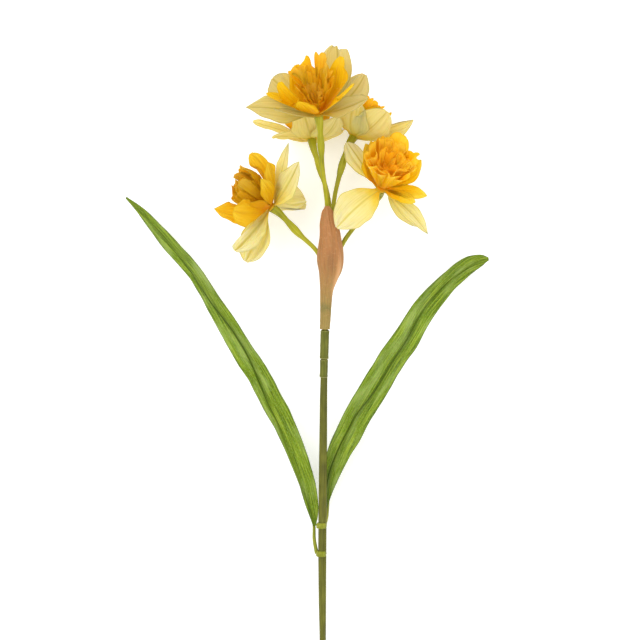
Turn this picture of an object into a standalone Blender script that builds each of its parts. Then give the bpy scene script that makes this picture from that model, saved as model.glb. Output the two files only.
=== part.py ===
"""Double daffodil spray, lying on a flat surface: five ruffled blooms on one wired stem, a papery
spathe and two strap leaves clipped on by their collars.

Sizes are in millimetres in a design frame: +Y runs along the stem towards the blooms, +X is to the
right, +Z is up from the surface, and X = Y = 0 is where the spathe's neck starts on the stem. The
last step moves the origin to the middle of the base.
"""

import math
from typing import NamedTuple

import bmesh
import bpy
import numpy as np

MM = 0.001
MERGED = 0.000005  # metres: corners nearer than this are one
GAP = 0.35  # running clearance between neighbouring pieces
PRESSED = 0.3  # what lies this near the surface is pressed flat on it
SHARP = math.radians(50)  # edges sharper than this keep their crease in the shading

# Stem: a plastic tube over a steel wire, from its cut end to its head inside the spathe.
STEM_PATH = [
    (-0.5, -273.0),
    (-2.1, -205.0),
    (-2.5, -170.0),
    (-1.9, -113.0),
    (-1.1, -53.0),
    (-0.2, -19.0),
    (0.4, 0.0),
    (1.2, 27.0),
]
STEM_RADII = [2.35, 2.35, 2.4, 2.5, 2.5, 2.3, 2.3, 2.3]
STEM_HEAD_RADIUS = 3.2
STEM_HEAD_LENGTH = 3.0
STEM_SLOPE = 0.105  # rise of the lying stem per length
STEM_SIDES = 12
WIRE_RADIUS = 1.0
WIRE_BORE = 1.4
WIRE_SIDES = 8

# Two short joint sleeves below the spathe: (lower end, upper end, outer radius), along Y.
JOINT_SLEEVES = {
    "joint_sleeve_lower": (-36.2, -22.8, 3.15),
    "joint_sleeve_upper": (-22.3, -0.8, 3.45),
}
SLEEVE_LIP = 0.8
SLEEVE_CHAMFER = 0.35

# Spathe: (distance up from its neck, sideways place of its middle, radius, half wrap in degrees).
SPATHE_SECTIONS = [
    (0.0, 0.3, 3.5, 168),
    (12.5, 0.8, 3.8, 165),
    (27.8, 1.5, 4.7, 150),
    (35.4, 2.8, 6.2, 125),
    (43.0, 4.3, 8.1, 105),
    (50.7, 4.3, 9.7, 92),
    (58.4, 4.4, 9.6, 88),
    (66.0, 4.4, 8.7, 82),
    (73.7, 4.0, 7.7, 76),
    (81.3, 3.0, 6.3, 70),
    (88.0, 2.3, 4.6, 62),
    (92.0, 2.0, 2.6, 40),
]
SPATHE_THICKNESS = 0.6
SPATHE_COLUMNS = 9
SPATHE_DEPTH = 0.9  # its depth across the front, per width
SPATHE_FRONT = 1.5  # the spathe's middle line stands this much proud of the stem's line

# Leaves: (X, Y, height, half width, roll in degrees) from the root to the tip.
LEFT_LEAF = [
    (-7.6, -149.0, 12.5, 1.0, -10),
    (-8.6, -138.5, 13.5, 3.8, -12),
    (-11.8, -123.5, 15.0, 5.6, -14),
    (-14.5, -113.0, 16.0, 6.2, -12),
    (-23.0, -89.0, 18.5, 7.2, -6),
    (-32.0, -68.0, 20.5, 8.2, 0),
    (-40.0, -53.0, 22.0, 8.6, 4),
    (-49.0, -35.0, 23.0, 8.6, 8),
    (-60.0, -18.0, 23.0, 8.4, 14),
    (-71.0, 1.0, 22.0, 8.0, 20),
    (-82.0, 19.0, 19.5, 7.8, 28),
    (-92.5, 37.0, 16.0, 7.6, 32),
    (-101.0, 48.0, 13.5, 7.4, 32),
    (-115.0, 63.0, 9.5, 6.6, 28),
    (-127.0, 76.0, 5.5, 5.0, 20),
    (-140.0, 90.0, -0.9, 2.8, 0),
    (-151.0, 100.0, -1.2, 0.7, 0),
]
RIGHT_LEAF = [
    (1.4, -136.0, 9.0, 0.8, 30),
    (2.8, -123.0, 9.8, 4.4, 24),
    (6.0, -108.0, 11.5, 7.6, 16),
    (12.0, -92.0, 14.0, 9.0, 10),
    (18.0, -80.0, 16.0, 9.8, 6),
    (25.5, -64.5, 19.0, 10.2, 2),
    (36.0, -47.0, 22.0, 10.3, 0),
    (50.0, -23.0, 24.5, 10.2, -4),
    (60.5, -8.0, 25.5, 10.0, -6),
    (73.0, 13.0, 24.0, 9.2, -10),
    (84.0, 26.5, 19.5, 8.4, -14),
    (95.0, 37.5, 11.5, 7.6, -14),
    (108.0, 47.5, 0.8, 6.6, -3),
    (119.0, 52.3, -3.5, 4.4, 0),
    (125.0, 53.3, -3.5, 1.2, 0),
]
LEAF_THICKNESS = 0.8
LEAF_FOLD = 0.34  # rise of each half of the blade from its crease, per width
LEAF_WAVE = 0.5
LEAF_ROWS = 21
LEAF_COLUMNS = 5
RIB_RADIUS = 0.8
RIB_TIP_RADIUS = 0.45
RIB_SIDES = 5
STALK_RADII = (1.5, 1.3)  # where a leaf's stalk leaves its collar, and at the blade's root
STALK_LENGTH = 12.0
STALK_TAPER_END = 40.0
STALK_START = 0.3  # gap between the collar's outside and where the stalk's line starts
STALK_BULGE = 0.9  # how far the stalk bends out between the collar and the blade
RIB_END = 0.72  # share of the blade's length that its back rib reaches
RIB_CLEAR = 0.2  # extra room between the blade and its rib

# Collars: the ring on the stem that each leaf's rib grows from.
COLLAR_HEIGHT = 4.2
COLLAR_RADIUS = 4.1
# Outline of a collar: (share of half its height, radius over COLLAR_RADIUS).
COLLAR_RING = [(-1.0, -0.7), (-0.5, 0.0), (0.5, -0.2), (1.0, -0.9)]
COLLARS = {"left": (-170.0, 200.0), "right": (-148.5, -50.0)}  # (along Y, side in degrees)

# Pedicels: (distance down from the bloom, radius).
PEDICEL_PROFILE = [
    (0.0, 3.6),
    (5.0, 3.0),
    (10.0, 2.4),
    (14.0, 2.1),
    (18.0, 2.6),
    (23.0, 3.0),
    (28.0, 2.6),
    (32.0, 1.9),
    (40.0, 1.7),
]
PEDICEL_END_RADIUS = 1.15
PEDICEL_ROOT = 20.0  # length over which it thickens from its end on the stem's head
PEDICEL_SIDES = 7
PEDICEL_RINGS = 15
SEAT_RADIUS = 2.05  # circle that the pedicels' ends stand on, on the stem's head
PEDICEL_BUNDLE = (2.6, 46.0, 36.4)  # middle of the five pedicels inside the spathe
BUNDLE_RADIUS = 3.5

# Bloom layers, as heights above the top of the pedicel and radii.
PETAL_THICKNESS = 0.7
PETAL_RUFFLE = 0.11  # wave of a petal's edges, per half width
PETAL_TIP = 0.22  # half width near the tip that a petal keeps at least, as a share of its greatest
OUTER_HUB = (0.0, 1.6, 4.0)  # (bottom, top, radius)
INNER_HUB = (1.95, 3.5, 3.6)
HUB_SIDES = 10
HUB_BEVELS = (0.5, 0.6)  # how much narrower a hub is at its bottom and top
CORONA_BASE = 3.9
CORONA_ROOM = (2.6, 4.0, 1.3)  # clear of its cup: at the floor, further up, and more at the rim
# Lowest that outer petals reach: (distance from the bloom's axis, height), clear of the pedicel.
UNDERSIDE = [(0.0, 0.8), (2.8, 0.8), (7.6, -0.8), (10.5, -8.0), (15.0, -17.0), (35.0, -50.0)]
PETAL_ROOT = 2.8  # where a petal's middle line leaves the hub
TIER_STEP = 1.3  # every second petal of a layer stands this much outside its neighbours
LAYER_ROOM = 0.03  # extra room between the layers, per distance from the bloom's axis
CORONA_THICKNESS = 0.65
RIM_DIP = 1.6  # how far the rim of a corona rises and falls round it
FINGER_LENGTH = 5.0
FINGER_TAPER = 0.08  # share of its width that a finger loses at each side


class Petal(NamedTuple):
    """One petal: where its tip is from the bloom's base, how far it bows away from the bloom's
    axis, its width, how far its face is turned up (0 to 1), its hollow, how blunt its tip is, how
    far out it is widest and how far it bends sideways."""

    tip: tuple
    bow: float = 3.0
    width: float = 24.0
    turned: float = 0.0
    cup: float = 0.12
    blunt: float = 0.5
    peak: float = 1.15
    sway: float = 0.0


class Bloom(NamedTuple):
    """One bloom. Corona is the (height, radius) profile of its frilled cup, which stands higher at
    the bloom's back than at its front where slant is below zero. Fork holds the angles of the cone
    that parts outer from inner petals, at the bloom's back, front, right and left. Turn sets where
    its ruffles fall. Seat is its place on the stem's head, in degrees, and route leads its pedicel
    from there. Base, route and axis are in the design frame, and its petals' tips are offsets from
    the base."""

    base: tuple
    axis: tuple
    fork: tuple
    corona: list
    turn: float
    seat: float
    route: list
    outer: list
    inner: list
    slant: float = 0.0


OPEN_CUP = [(0.0, 2.4), (4.0, 5.7), (16.0, 10.4), (29.0, 16.0)]
SHORT_CUP = [(0.0, 2.4), (4.0, 5.7), (14.0, 10.4), (24.0, 15.0)]
ROUND_CUP = [(0.0, 2.4), (4.0, 5.7), (13.0, 11.2), (22.0, 13.0), (31.0, 8.5)]
WIDE_CUP = [(0.0, 2.4), (4.0, 6.2), (15.0, 12.5), (31.0, 18.5)]

BLOOMS = {
    "top": Bloom(
        base=(-4.6, 157.0, 69.0),
        axis=(-0.12, 0.92, 0.36),
        fork=(62, 20, 46, 29),
        corona=OPEN_CUP,
        turn=26.0,
        seat=90,
        route=[(1.5, 64.0, 40.5), (1.75, 93.0, 41.0), (-1.8, 122.0, 52.0)],
        outer=[
            Petal((-53, 6, 3), -2, 23, turned=0.7, blunt=0.1, peak=0.9),
            Petal((-35, 35, -8), 5, 26, turned=0.4, blunt=1.0),
            Petal((13, 54, -8), 8, 27, turned=0.2, blunt=1.0, peak=1.7),
            Petal((34, 31, -6), 5, 28, turned=0.4, blunt=1.0, peak=1.4),
            Petal((36, 11, 19), 1, 25, turned=0.3),
            Petal((-32, 3, 25), 1, 24),
        ],
        inner=[
            Petal((-38, 16, 8), 2, 17, turned=0.4),
            Petal((-28, 23, 20), 3, 18, turned=0.5, blunt=1.0),
            Petal((-16, 38, -5), 6, 20, blunt=1.0),
            Petal((14, 42, 8), 6, 22, turned=0.3, blunt=1.0),
            Petal((25, 9, 29), 3, 20, turned=0.6, blunt=1.0),
            Petal((-14, 8, 30), 2, 17),
        ],
        slant=-0.42,
    ),
    "back_left": Bloom(
        base=(-9.6, 142.0, 30.0),
        axis=(-0.20, 0.93, -0.30),
        fork=(38, 38, 38, 38),
        corona=SHORT_CUP,
        turn=20.0,
        seat=234,
        route=[(2.6, 62.0, 31.5), (3.6, 93.0, 29.0), (-2.6, 118.0, 28.0)],
        outer=[
            Petal((-44, 14, -4), -1, 12, turned=0.2, blunt=1.0, peak=1.5),
            Petal((-29, 1, 20), -2, 13, blunt=1.0, peak=1.6),
            Petal((-6, 20, 28), 5, 25, blunt=1.0),
            Petal((19, 15, 24), 5, 25, blunt=1.0),
            Petal((24, 10, -33), 3, 22),
            Petal((-15, 11, -32), 4, 23),
        ],
        inner=[
            Petal((-24, 19, 12), 2, 15),
            Petal((-8, 31, 18), 4, 16),
            Petal((12, 32, 12), 4, 15),
            Petal((14, 31, -8), 4, 14),
            Petal((0, 30, -20), 5, 16),
            Petal((-22, 25, -14), 5, 16),
        ],
    ),
    "back_right": Bloom(
        base=(21.8, 144.0, 31.0),
        axis=(0.46, 0.84, -0.25),
        fork=(44, 46, 44, 44),
        corona=SHORT_CUP,
        turn=40.0,
        seat=306,
        route=[(6.4, 62.0, 34.0), (6.8, 93.0, 34.5), (11.9, 118.0, 31.5)],
        outer=[
            Petal((1, 25, 29), 5, 29, blunt=1.0),
            Petal((24, 17, 30), 5, 28, blunt=1.0),
            Petal((45, 14, 4), 1, 22, turned=0.8),
            Petal((32, 6, -31), 3, 24),
            Petal((6, 28, -30), 5, 22),
            Petal((-8, 38, -14), 5, 18),
        ],
        inner=[
            Petal((2, 25, 14), 3, 15),
            Petal((19, 21, 15), 3, 15),
            Petal((28, 18, 4), 3, 15),
            Petal((28, 12, -16), 4, 16),
            Petal((13, 30, -21), 5, 16),
            Petal((-4, 36, -5), 5, 15),
        ],
    ),
    "left": Bloom(
        base=(-39.0, 90.5, 40.0),
        axis=(-0.76, 0.60, 0.25),
        fork=(36, 24, 36, 12),
        corona=ROUND_CUP,
        turn=60.0,
        seat=162,
        route=[(-6.0, 58.5, 35.0), (-19.4, 71.5, 37.0)],
        outer=[
            Petal((12, 48, 6), 0, 13, turned=0.5, blunt=0.1, peak=0.8),
            Petal((20, 33, 22), 1, 22, turned=0.6, blunt=0.3, peak=0.75),
            Petal((25, 5, -17), 1, 28, turned=0.7, blunt=1.0),
            Petal((-28, -32, 6), 1, 22, turned=0.6, blunt=1.0),
            Petal((-20, -40, -8), 0, 24, turned=0.7, blunt=1.0),
            Petal((-25, 2, -42), 3, 23),
        ],
        inner=[
            Petal((-16, 40, 8), 4, 17, turned=0.5, blunt=1.0, peak=1.6),
            Petal((-3, 33, 16), 3, 16, turned=0.5),
            Petal((-8, 20, 26), 3, 13, turned=0.3),
            Petal((-28, -3, 27), 3, 24, turned=1.0, blunt=1.0),
            Petal((-43, -1, 8), 3, 20, turned=0.6, blunt=0.2),
            Petal((-26, 20, -21), 4, 17),
        ],
    ),
    "right": Bloom(
        base=(42.0, 104.0, 39.0),
        axis=(0.24, 0.69, 0.68),
        fork=(36, 14, 14, 30),
        corona=WIDE_CUP,
        turn=10.0,
        seat=18,
        route=[(13.0, 62.5, 36.0), (21.0, 74.6, 36.0)],
        outer=[
            Petal((-25, 36, 4), 0, 19, turned=0.7, blunt=1.0, peak=2.0),
            Petal((-33, -29, 14), -4, 28, turned=0.7, blunt=0.7),
            Petal((35, -33, 2), -3, 13, turned=0.5, blunt=0.1),
            Petal((28, -27, -10), 0, 14, turned=0.6),
            Petal((9, 23, -40), 3, 22),
            Petal((9, 4, -41), 2, 21),
        ],
        inner=[
            Petal((-7, 35, 14), 4, 18),
            Petal((-8, 31, 17), 3, 18, turned=0.3),
            Petal((25, -10, 17), 2, 14, turned=0.5),
            Petal((34, -5, 9), 1, 15, turned=0.5),
            Petal((30, 22, 2), 4, 18),
            Petal((10, 37, -6), 5, 16),
        ],
        slant=-0.1,
    ),
}


class Frill(NamedTuple):
    """One frilled cup of the corona: the height of its floor over the bloom's base, its height and
    radius as shares of the bloom's corona profile, and its ruffles and fingers."""

    start: float
    height: float
    radius: float
    columns: int
    ruffles: int
    depth: float
    fingers: int


OUTER_FRILL = Frill(CORONA_BASE, 1.0, 1.0, 30, 6, 2.2, 15)
INNER_FRILL = Frill(CORONA_BASE + 1.2, 0.65, 0.46, 15, 3, 1.2, 5)

# Materials: (red, green, blue), roughness, metallic.
MATERIALS = {
    "pale_petal": ((0.93, 0.85, 0.42), 0.6, 0.0),
    "golden_petal": ((0.93, 0.62, 0.06), 0.6, 0.0),
    "corona": ((0.95, 0.50, 0.04), 0.6, 0.0),
    "corona_heart": ((0.90, 0.58, 0.06), 0.6, 0.0),
    "stalk_green": ((0.42, 0.42, 0.03), 0.45, 0.0),
    "stem_green": ((0.16, 0.18, 0.03), 0.45, 0.0),
    "leaf_green": ((0.20, 0.38, 0.04), 0.55, 0.0),
    "spathe_brown": ((0.55, 0.27, 0.11), 0.65, 0.0),
    "steel": ((0.55, 0.56, 0.58), 0.35, 1.0),
}


def clear_scene():
    for obj in list(bpy.data.objects):
        bpy.data.objects.remove(obj)


def material(name):
    found = bpy.data.materials.get(name)
    if found:
        return found
    colour, roughness, metallic = MATERIALS[name]
    made = bpy.data.materials.new(name)
    made.use_nodes = True
    shader = made.node_tree.nodes["Principled BSDF"]
    shader.inputs["Base Color"].default_value = (*colour, 1.0)
    shader.inputs["Roughness"].default_value = roughness
    shader.inputs["Metallic"].default_value = metallic
    return made


def add_object(name, points, faces, finish):
    """A mesh object from points in millimetres."""
    mesh = bpy.data.meshes.new(name)
    mesh.from_pydata([tuple(MM * c for c in p) for p in points], [], faces)
    mesh.materials.append(material(finish))
    obj = bpy.data.objects.new(name, mesh)
    bpy.context.scene.collection.objects.link(obj)
    return obj


def thicken(obj, thickness):
    """Gives a sheet its thickness, half to each side."""
    solidify = obj.modifiers.new("Thickness", "SOLIDIFY")
    solidify.thickness = thickness * MM
    solidify.offset = 0.0
    solidify.use_even_offset = False
    return obj


def bake_modifiers(obj):
    """Replaces an object's mesh by its evaluated one."""
    graph = bpy.context.evaluated_depsgraph_get()
    mesh = bpy.data.meshes.new_from_object(obj.evaluated_get(graph))
    obj.modifiers.clear()
    obj.data = mesh
    return obj


def unite(base, others):
    """Joins solids to base with one Boolean union, and removes them."""
    collection = bpy.data.collections.new(base.name + "_joined")
    bpy.context.scene.collection.children.link(collection)
    for other in others:
        bpy.context.scene.collection.objects.unlink(other)
        collection.objects.link(other)
    union = base.modifiers.new("Union", "BOOLEAN")
    union.operation = "UNION"
    union.operand_type = "COLLECTION"
    union.collection = collection
    union.solver = "EXACT"
    bake_modifiers(base)
    for other in others:
        bpy.data.objects.remove(other)
    bpy.data.collections.remove(collection)
    drop_cavities(base)
    return base


def drop_cavities(obj):
    """Removes the small closed shells that a union of crossing sheets can leave inside."""
    shape = bmesh.new()
    shape.from_mesh(obj.data)
    bmesh.ops.remove_doubles(shape, verts=shape.verts, dist=MERGED)
    shells = []
    unseen = set(shape.faces)
    while unseen:
        reached = [unseen.pop()]
        shell = list(reached)
        while reached:
            for edge in reached.pop().edges:
                for face in edge.link_faces:
                    if face in unseen:
                        unseen.remove(face)
                        shell.append(face)
                        reached.append(face)
        shells.append(shell)
    largest = max(shells, key=len)
    loose = [face for shell in shells if shell is not largest for face in shell]
    bmesh.ops.delete(shape, geom=loose, context="FACES")
    shape.to_mesh(obj.data)
    shape.free()


def unit(v):
    v = np.asarray(v, float)
    return v / np.linalg.norm(v)


def smooth_path(points, per_span):
    """Points on a Catmull-Rom curve through the given ones, with the same number in each span."""
    p = np.asarray(points, float)
    padded = np.vstack([2 * p[0] - p[1], p, 2 * p[-1] - p[-2]])
    found = []
    for i in range(1, len(padded) - 2):
        a, b, c, d = padded[i - 1 : i + 3]
        for t in np.arange(per_span) / per_span:
            found.append(
                0.5
                * (
                    2 * b
                    + (c - a) * t
                    + (2 * a - 5 * b + 4 * c - d) * t**2
                    + (3 * b - a - 3 * c + d) * t**3
                )
            )
    found.append(p[-1])
    return np.array(found)


def distances(path):
    """Distance along the path of each of its points."""
    steps = np.linalg.norm(np.diff(path, axis=0), axis=1)
    return np.concatenate([[0.0], np.cumsum(steps)])


def resampled(path, count):
    """The path as count evenly spaced points."""
    along = distances(path)
    wanted = np.linspace(0.0, along[-1], count)
    return np.column_stack([np.interp(wanted, along, path[:, k]) for k in range(path.shape[1])])


def rings(path, radii, sides):
    """Circles of points round a path, each square to it and not twisted from the last."""
    tangents = np.gradient(path, axis=0)
    across = unit(np.cross(tangents[0], (0.0, 0.0, 1.0)))
    angles = np.arange(sides) * 2 * math.pi / sides
    made = []
    for centre, tangent, radius in zip(path, tangents, radii):
        tangent = unit(tangent)
        across = unit(across - tangent * (across @ tangent))
        up = np.cross(across, tangent)
        circle = np.outer(np.cos(angles), across) + np.outer(np.sin(angles), up)
        made.append(centre + radius * circle)
    return made


def tube(name, path, radii, finish, sides, bore=None, straight=False):
    """A solid rod along a path, or a pipe where bore gives its inner radius."""
    path = np.asarray(path, float)
    radii = np.broadcast_to(radii, len(path))
    loops = rings(path, radii, sides)
    if bore:
        inner = path[[0, -1]] if straight else path
        loops = loops + rings(inner, np.full(len(inner), bore), sides)[::-1]
    count = len(loops)
    points = np.vstack(loops)
    faces = []
    for k in range(count if bore else count - 1):
        a, b = k * sides, (k + 1) % count * sides
        for i in range(sides):
            j = (i + 1) % sides
            faces.append((a + i, b + i, b + j, a + j))
    if not bore:
        faces.append(tuple(range(sides)))
        faces.append(tuple(reversed(range((count - 1) * sides, count * sides))))
    return add_object(name, points, faces, finish)


def sheet(name, grid, finish, thickness):
    """A thickened sheet from rows of points, split into triangles alike on both faces."""
    rows, columns = grid.shape[:2]
    faces = []
    for i in range(rows - 1):
        for j in range(columns - 1):
            a, b = i * columns + j, (i + 1) * columns + j
            if j < (columns - 1) / 2:
                faces += [(a, b, a + 1), (a + 1, b, b + 1)]
            else:
                faces += [(a, b + 1, a + 1), (a, b, b + 1)]
    return thicken(add_object(name, grid.reshape(-1, 3), faces, finish), thickness)


def stem_height(y):
    """Height of the lying stem's line above the surface at a place along it."""
    return STEM_RADII[0] + STEM_SLOPE * (y - STEM_PATH[0][1])


def stem_point(y):
    """The stem's line at a place along it."""
    path = np.array(STEM_PATH)
    return np.array([np.interp(y, path[:, 1], path[:, 0]), y, stem_height(y)])


def build_stem():
    path = [stem_point(y) for _, y in STEM_PATH]
    radii = list(STEM_RADII)
    head = stem_point(STEM_PATH[-1][1] + STEM_HEAD_LENGTH)
    path += [head]
    radii += [STEM_HEAD_RADIUS]
    tube("main_stem", path, radii, "stem_green", STEM_SIDES, bore=WIRE_BORE)
    tube("stem_wire", path, WIRE_RADIUS, "steel", WIRE_SIDES)
    return head


def build_joint_sleeves():
    for name, (low, high, radius) in JOINT_SLEEVES.items():
        path = [stem_point(y) for y in (low, low + SLEEVE_LIP, high - SLEEVE_LIP, high)]
        radii = [radius - SLEEVE_CHAMFER, radius, radius, radius - SLEEVE_CHAMFER]
        tube(name, path, radii, "stem_green", STEM_SIDES, STEM_RADII[-1] + GAP, straight=True)


def build_spathe():
    """A bract wrapped round the stem at its neck, open at the back further up."""
    sections = smooth_path(SPATHE_SECTIONS, 1)
    grid = []
    for up, side, radius, wrap in sections:
        centre = np.array([side, up, stem_height(up)])
        turn = np.radians(np.linspace(-wrap, wrap, SPATHE_COLUMNS))
        lean = SPATHE_FRONT * up / SPATHE_SECTIONS[-1][0]
        across = np.outer(np.sin(turn), (radius, 0.0, 0.0))
        out = np.outer(np.cos(turn) * radius * SPATHE_DEPTH + lean, (0.0, -STEM_SLOPE, 1.0))
        grid.append(centre + across + out)
    sheet("spathe", np.array(grid), "spathe_brown", SPATHE_THICKNESS)


def leaf_grid(sections, rows, columns, seed):
    """The middle surface of a leaf, folded along its crease and slightly waved."""
    smooth = resampled(smooth_path(sections, 4), rows)
    path, half, roll = smooth[:, :3], smooth[:, 3], np.radians(smooth[:, 4])
    tangents = np.gradient(path, axis=0)
    phase = np.random.default_rng(seed).uniform(0, 2 * math.pi, 2)
    v = np.linspace(-1, 1, columns)
    grid, backs = [], []
    for i in range(rows):
        tangent = unit(tangents[i])
        across = unit(np.cross(tangent, (0.0, 0.0, 1.0)))
        normal = np.cross(across, tangent)
        across, normal = (
            math.cos(roll[i]) * across + math.sin(roll[i]) * normal,
            math.cos(roll[i]) * normal - math.sin(roll[i]) * across,
        )
        wave = LEAF_WAVE * v * np.sin(0.9 * i + phase[0] + 2.0 * v)
        rise = half[i] * LEAF_FOLD * np.abs(v) + wave * half[i] / 8
        grid.append(path[i] + np.outer(half[i] * v, across) + np.outer(rise, normal))
        backs.append(-normal)
    return np.array(grid), np.array(backs)


def build_leaf(side, sections, seed):
    """A leaf's blade, and the collar, stalk and back rib that are moulded in one piece."""
    grid, backs = leaf_grid(sections, LEAF_ROWS, LEAF_COLUMNS, seed)
    floor = LEAF_THICKNESS / 2
    grid[:, :, 2] = np.maximum(grid[:, :, 2], floor)
    blade = sheet(f"leaf_blade_{side}", grid, "leaf_green", LEAF_THICKNESS)
    crease = grid[:, LEAF_COLUMNS // 2]
    rib_rows = int(RIB_END * LEAF_ROWS)
    stand_off = LEAF_THICKNESS / 2 + RIB_RADIUS + GAP + RIB_CLEAR
    rib = crease[:rib_rows] + backs[:rib_rows] * stand_off
    y, around = COLLARS[side]
    centre = stem_point(y)
    angle = math.radians(around)
    out = np.array([math.cos(angle), 0.0, math.sin(angle)])
    root = centre + out * (COLLAR_RADIUS + STALK_START)
    bend = 0.5 * (root + rib[0]) + out * STALK_BULGE
    path = np.vstack([smooth_path([root, bend, rib[0]], 2)[:-1], rib])
    along = distances(path)
    stations = (0.0, STALK_LENGTH, STALK_TAPER_END, along[-1])
    radii = np.interp(along, stations, (*STALK_RADII, RIB_RADIUS, RIB_TIP_RADIUS))
    stalk = tube(f"stalk_{side}", path, radii, "stalk_green", RIB_SIDES)
    ring_path = [stem_point(y + share * COLLAR_HEIGHT / 2) for share, _ in COLLAR_RING]
    ring_radii = [COLLAR_RADIUS + extra for _, extra in COLLAR_RING]
    bore = max(STEM_RADII) + GAP
    name = f"leaf_collar_{side}"
    collar = tube(name, ring_path, ring_radii, "stalk_green", STEM_SIDES, bore, straight=True)
    unite(collar, [stalk])
    return blade


def bloom_frame(bloom):
    """Axis, front and side directions of a bloom. Front is the side of it that looks up."""
    axis = unit(bloom.axis)
    front = unit(np.array([0.0, 0.0, 1.0]) - axis * axis[2])
    return axis, front, np.cross(axis, front)


def petal_profile(s, petal):
    """Half width of a petal along its length, as a share of its greatest."""
    body = np.sin(math.pi * np.minimum(s, 0.99) ** petal.peak) ** (1.0 - 0.5 * petal.blunt)
    return np.maximum(body, PETAL_TIP * np.sqrt(1.0 - s))


def petal_grid(bloom, petal, start_height, tier, rows, columns=4):
    """The middle surface of one petal, from its root in the hub to its tip."""
    axis = unit(bloom.axis)
    tip = np.asarray(petal.tip, float)
    radial = unit(tip - axis * (tip @ axis))
    across_hub = np.cross(axis, radial)
    start = axis * start_height + radial * PETAL_ROOT
    chord = unit(tip - start)
    outward = np.cross(across_hub, chord)
    middle = 0.5 * (start + tip) + 2.0 * (petal.bow * outward + petal.sway * across_hub)
    v = np.linspace(-1, 1, columns)
    shares = 1.0 - (1.0 - np.linspace(0, 1, rows)) ** 1.2
    grid = []
    for s, half in zip(shares, petal.width / 2 * petal_profile(shares, petal)):
        place = (1 - s) ** 2 * start + 2 * s * (1 - s) * middle + s * s * tip
        along = unit((1 - s) * (middle - start) + s * (tip - middle))
        normal = unit(np.cross(along, across_hub))
        up = np.array([0.0, 0.0, math.copysign(1.0, normal[2])])
        up = unit(up - along * (up @ along))
        share = petal.turned * min(1.0, 2.5 * s)
        normal = unit((1.0 - share) * normal + share * up)
        across = np.cross(normal, along)
        ruffle = PETAL_RUFFLE * half * s * math.sin(6.5 * s + 0.7 * petal.tip[0])
        rise = petal.cup * half * (v * v - 0.3) + ruffle * v * abs(v)
        grid.append(np.array(bloom.base) + place + np.outer(half * v, across) + np.outer(rise, normal))
    grid = in_its_layer(bloom, np.array(grid), start_height, tier)
    grid[:, :, 2] = np.maximum(grid[:, :, 2], PETAL_THICKNESS / 2)
    return grid


def in_its_layer(bloom, grid, start_height, tier):
    """Keeps outer petals outside the bloom's fork cone and off the pedicel, and inner petals inside
    the cone and off the corona."""
    axis, front, side = bloom_frame(bloom)
    base = np.array(bloom.base)
    offset = grid - base
    height = offset @ axis
    flat = offset - height[..., None] * axis
    radius = np.maximum(np.linalg.norm(flat, axis=-1), 0.1)
    facing, beside = (flat @ front) / radius, (flat @ side) / radius
    parts = [np.maximum(0.0, part) ** 2 for part in (-facing, facing, beside, -beside)]
    fork = np.radians(sum(lift * part for lift, part in zip(bloom.fork, parts)))
    parting = 0.5 * (OUTER_HUB[1] + INNER_HUB[0])
    cone = parting + np.maximum(0.0, radius - OUTER_HUB[2]) * np.tan(fork)
    room = (0.5 * (PETAL_THICKNESS + GAP) + LAYER_ROOM * radius) / np.cos(fork)
    if start_height < parting:
        height = np.minimum(height, cone - room - tier * np.minimum(1.0, 0.1 * radius))
        drop = np.interp(radius, *np.array(UNDERSIDE).T)
        height = np.maximum(height, drop)
    else:
        stretch = 1.0 + bloom.slant * facing
        wall = corona_wall(bloom, (height - CORONA_BASE) / stretch)
        clear = np.where(height > CORONA_BASE - 0.6, wall + tier, 0.0)
        radius_free = np.maximum(radius, clear)
        flat = flat * (radius_free / radius)[..., None]
        cone = parting + np.maximum(0.0, radius_free - OUTER_HUB[2]) * np.tan(fork)
        height = np.maximum(height, cone + room)
    return base + flat + height[..., None] * axis


def corona_wall(bloom, height):
    """How far out the corona reaches at a height over its floor, with its ruffles and fingers."""
    heights, radii = np.array(bloom.corona).T
    flare = max(0.0, (radii[-1] - radii[-2]) / (heights[-1] - heights[-2]))
    radius = np.interp(height, heights, radii) + flare * np.maximum(0.0, height - heights[-1])
    share = np.clip(height / heights[-1], 0.0, 1.2)
    room = np.interp(height, heights[:2], CORONA_ROOM[:2])
    return radius + room + CORONA_ROOM[2] * share**1.5


def hub(name, bloom, bottom, top, radius, finish):
    axis = bloom_frame(bloom)[0]
    base = np.array(bloom.base)
    middle = (bottom + top) / 2
    path = [base + axis * h for h in (bottom, middle, top)]
    radii = [radius - HUB_BEVELS[0], radius, radius - HUB_BEVELS[1]]
    return tube(name, path, radii, finish, HUB_SIDES)


def build_petal_layer(name, bloom, petals, hub_size, rows, finish):
    bottom, top, radius = hub_size
    made = hub(name, bloom, bottom, top, radius, finish)
    height = (bottom + top) / 2
    blades = [
        sheet(
            f"{name}_{i}",
            petal_grid(bloom, petal, height, TIER_STEP * (i % 2), rows),
            finish,
            PETAL_THICKNESS,
        )
        for i, petal in enumerate(petals)
    ]
    return unite(made, blades)


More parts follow.
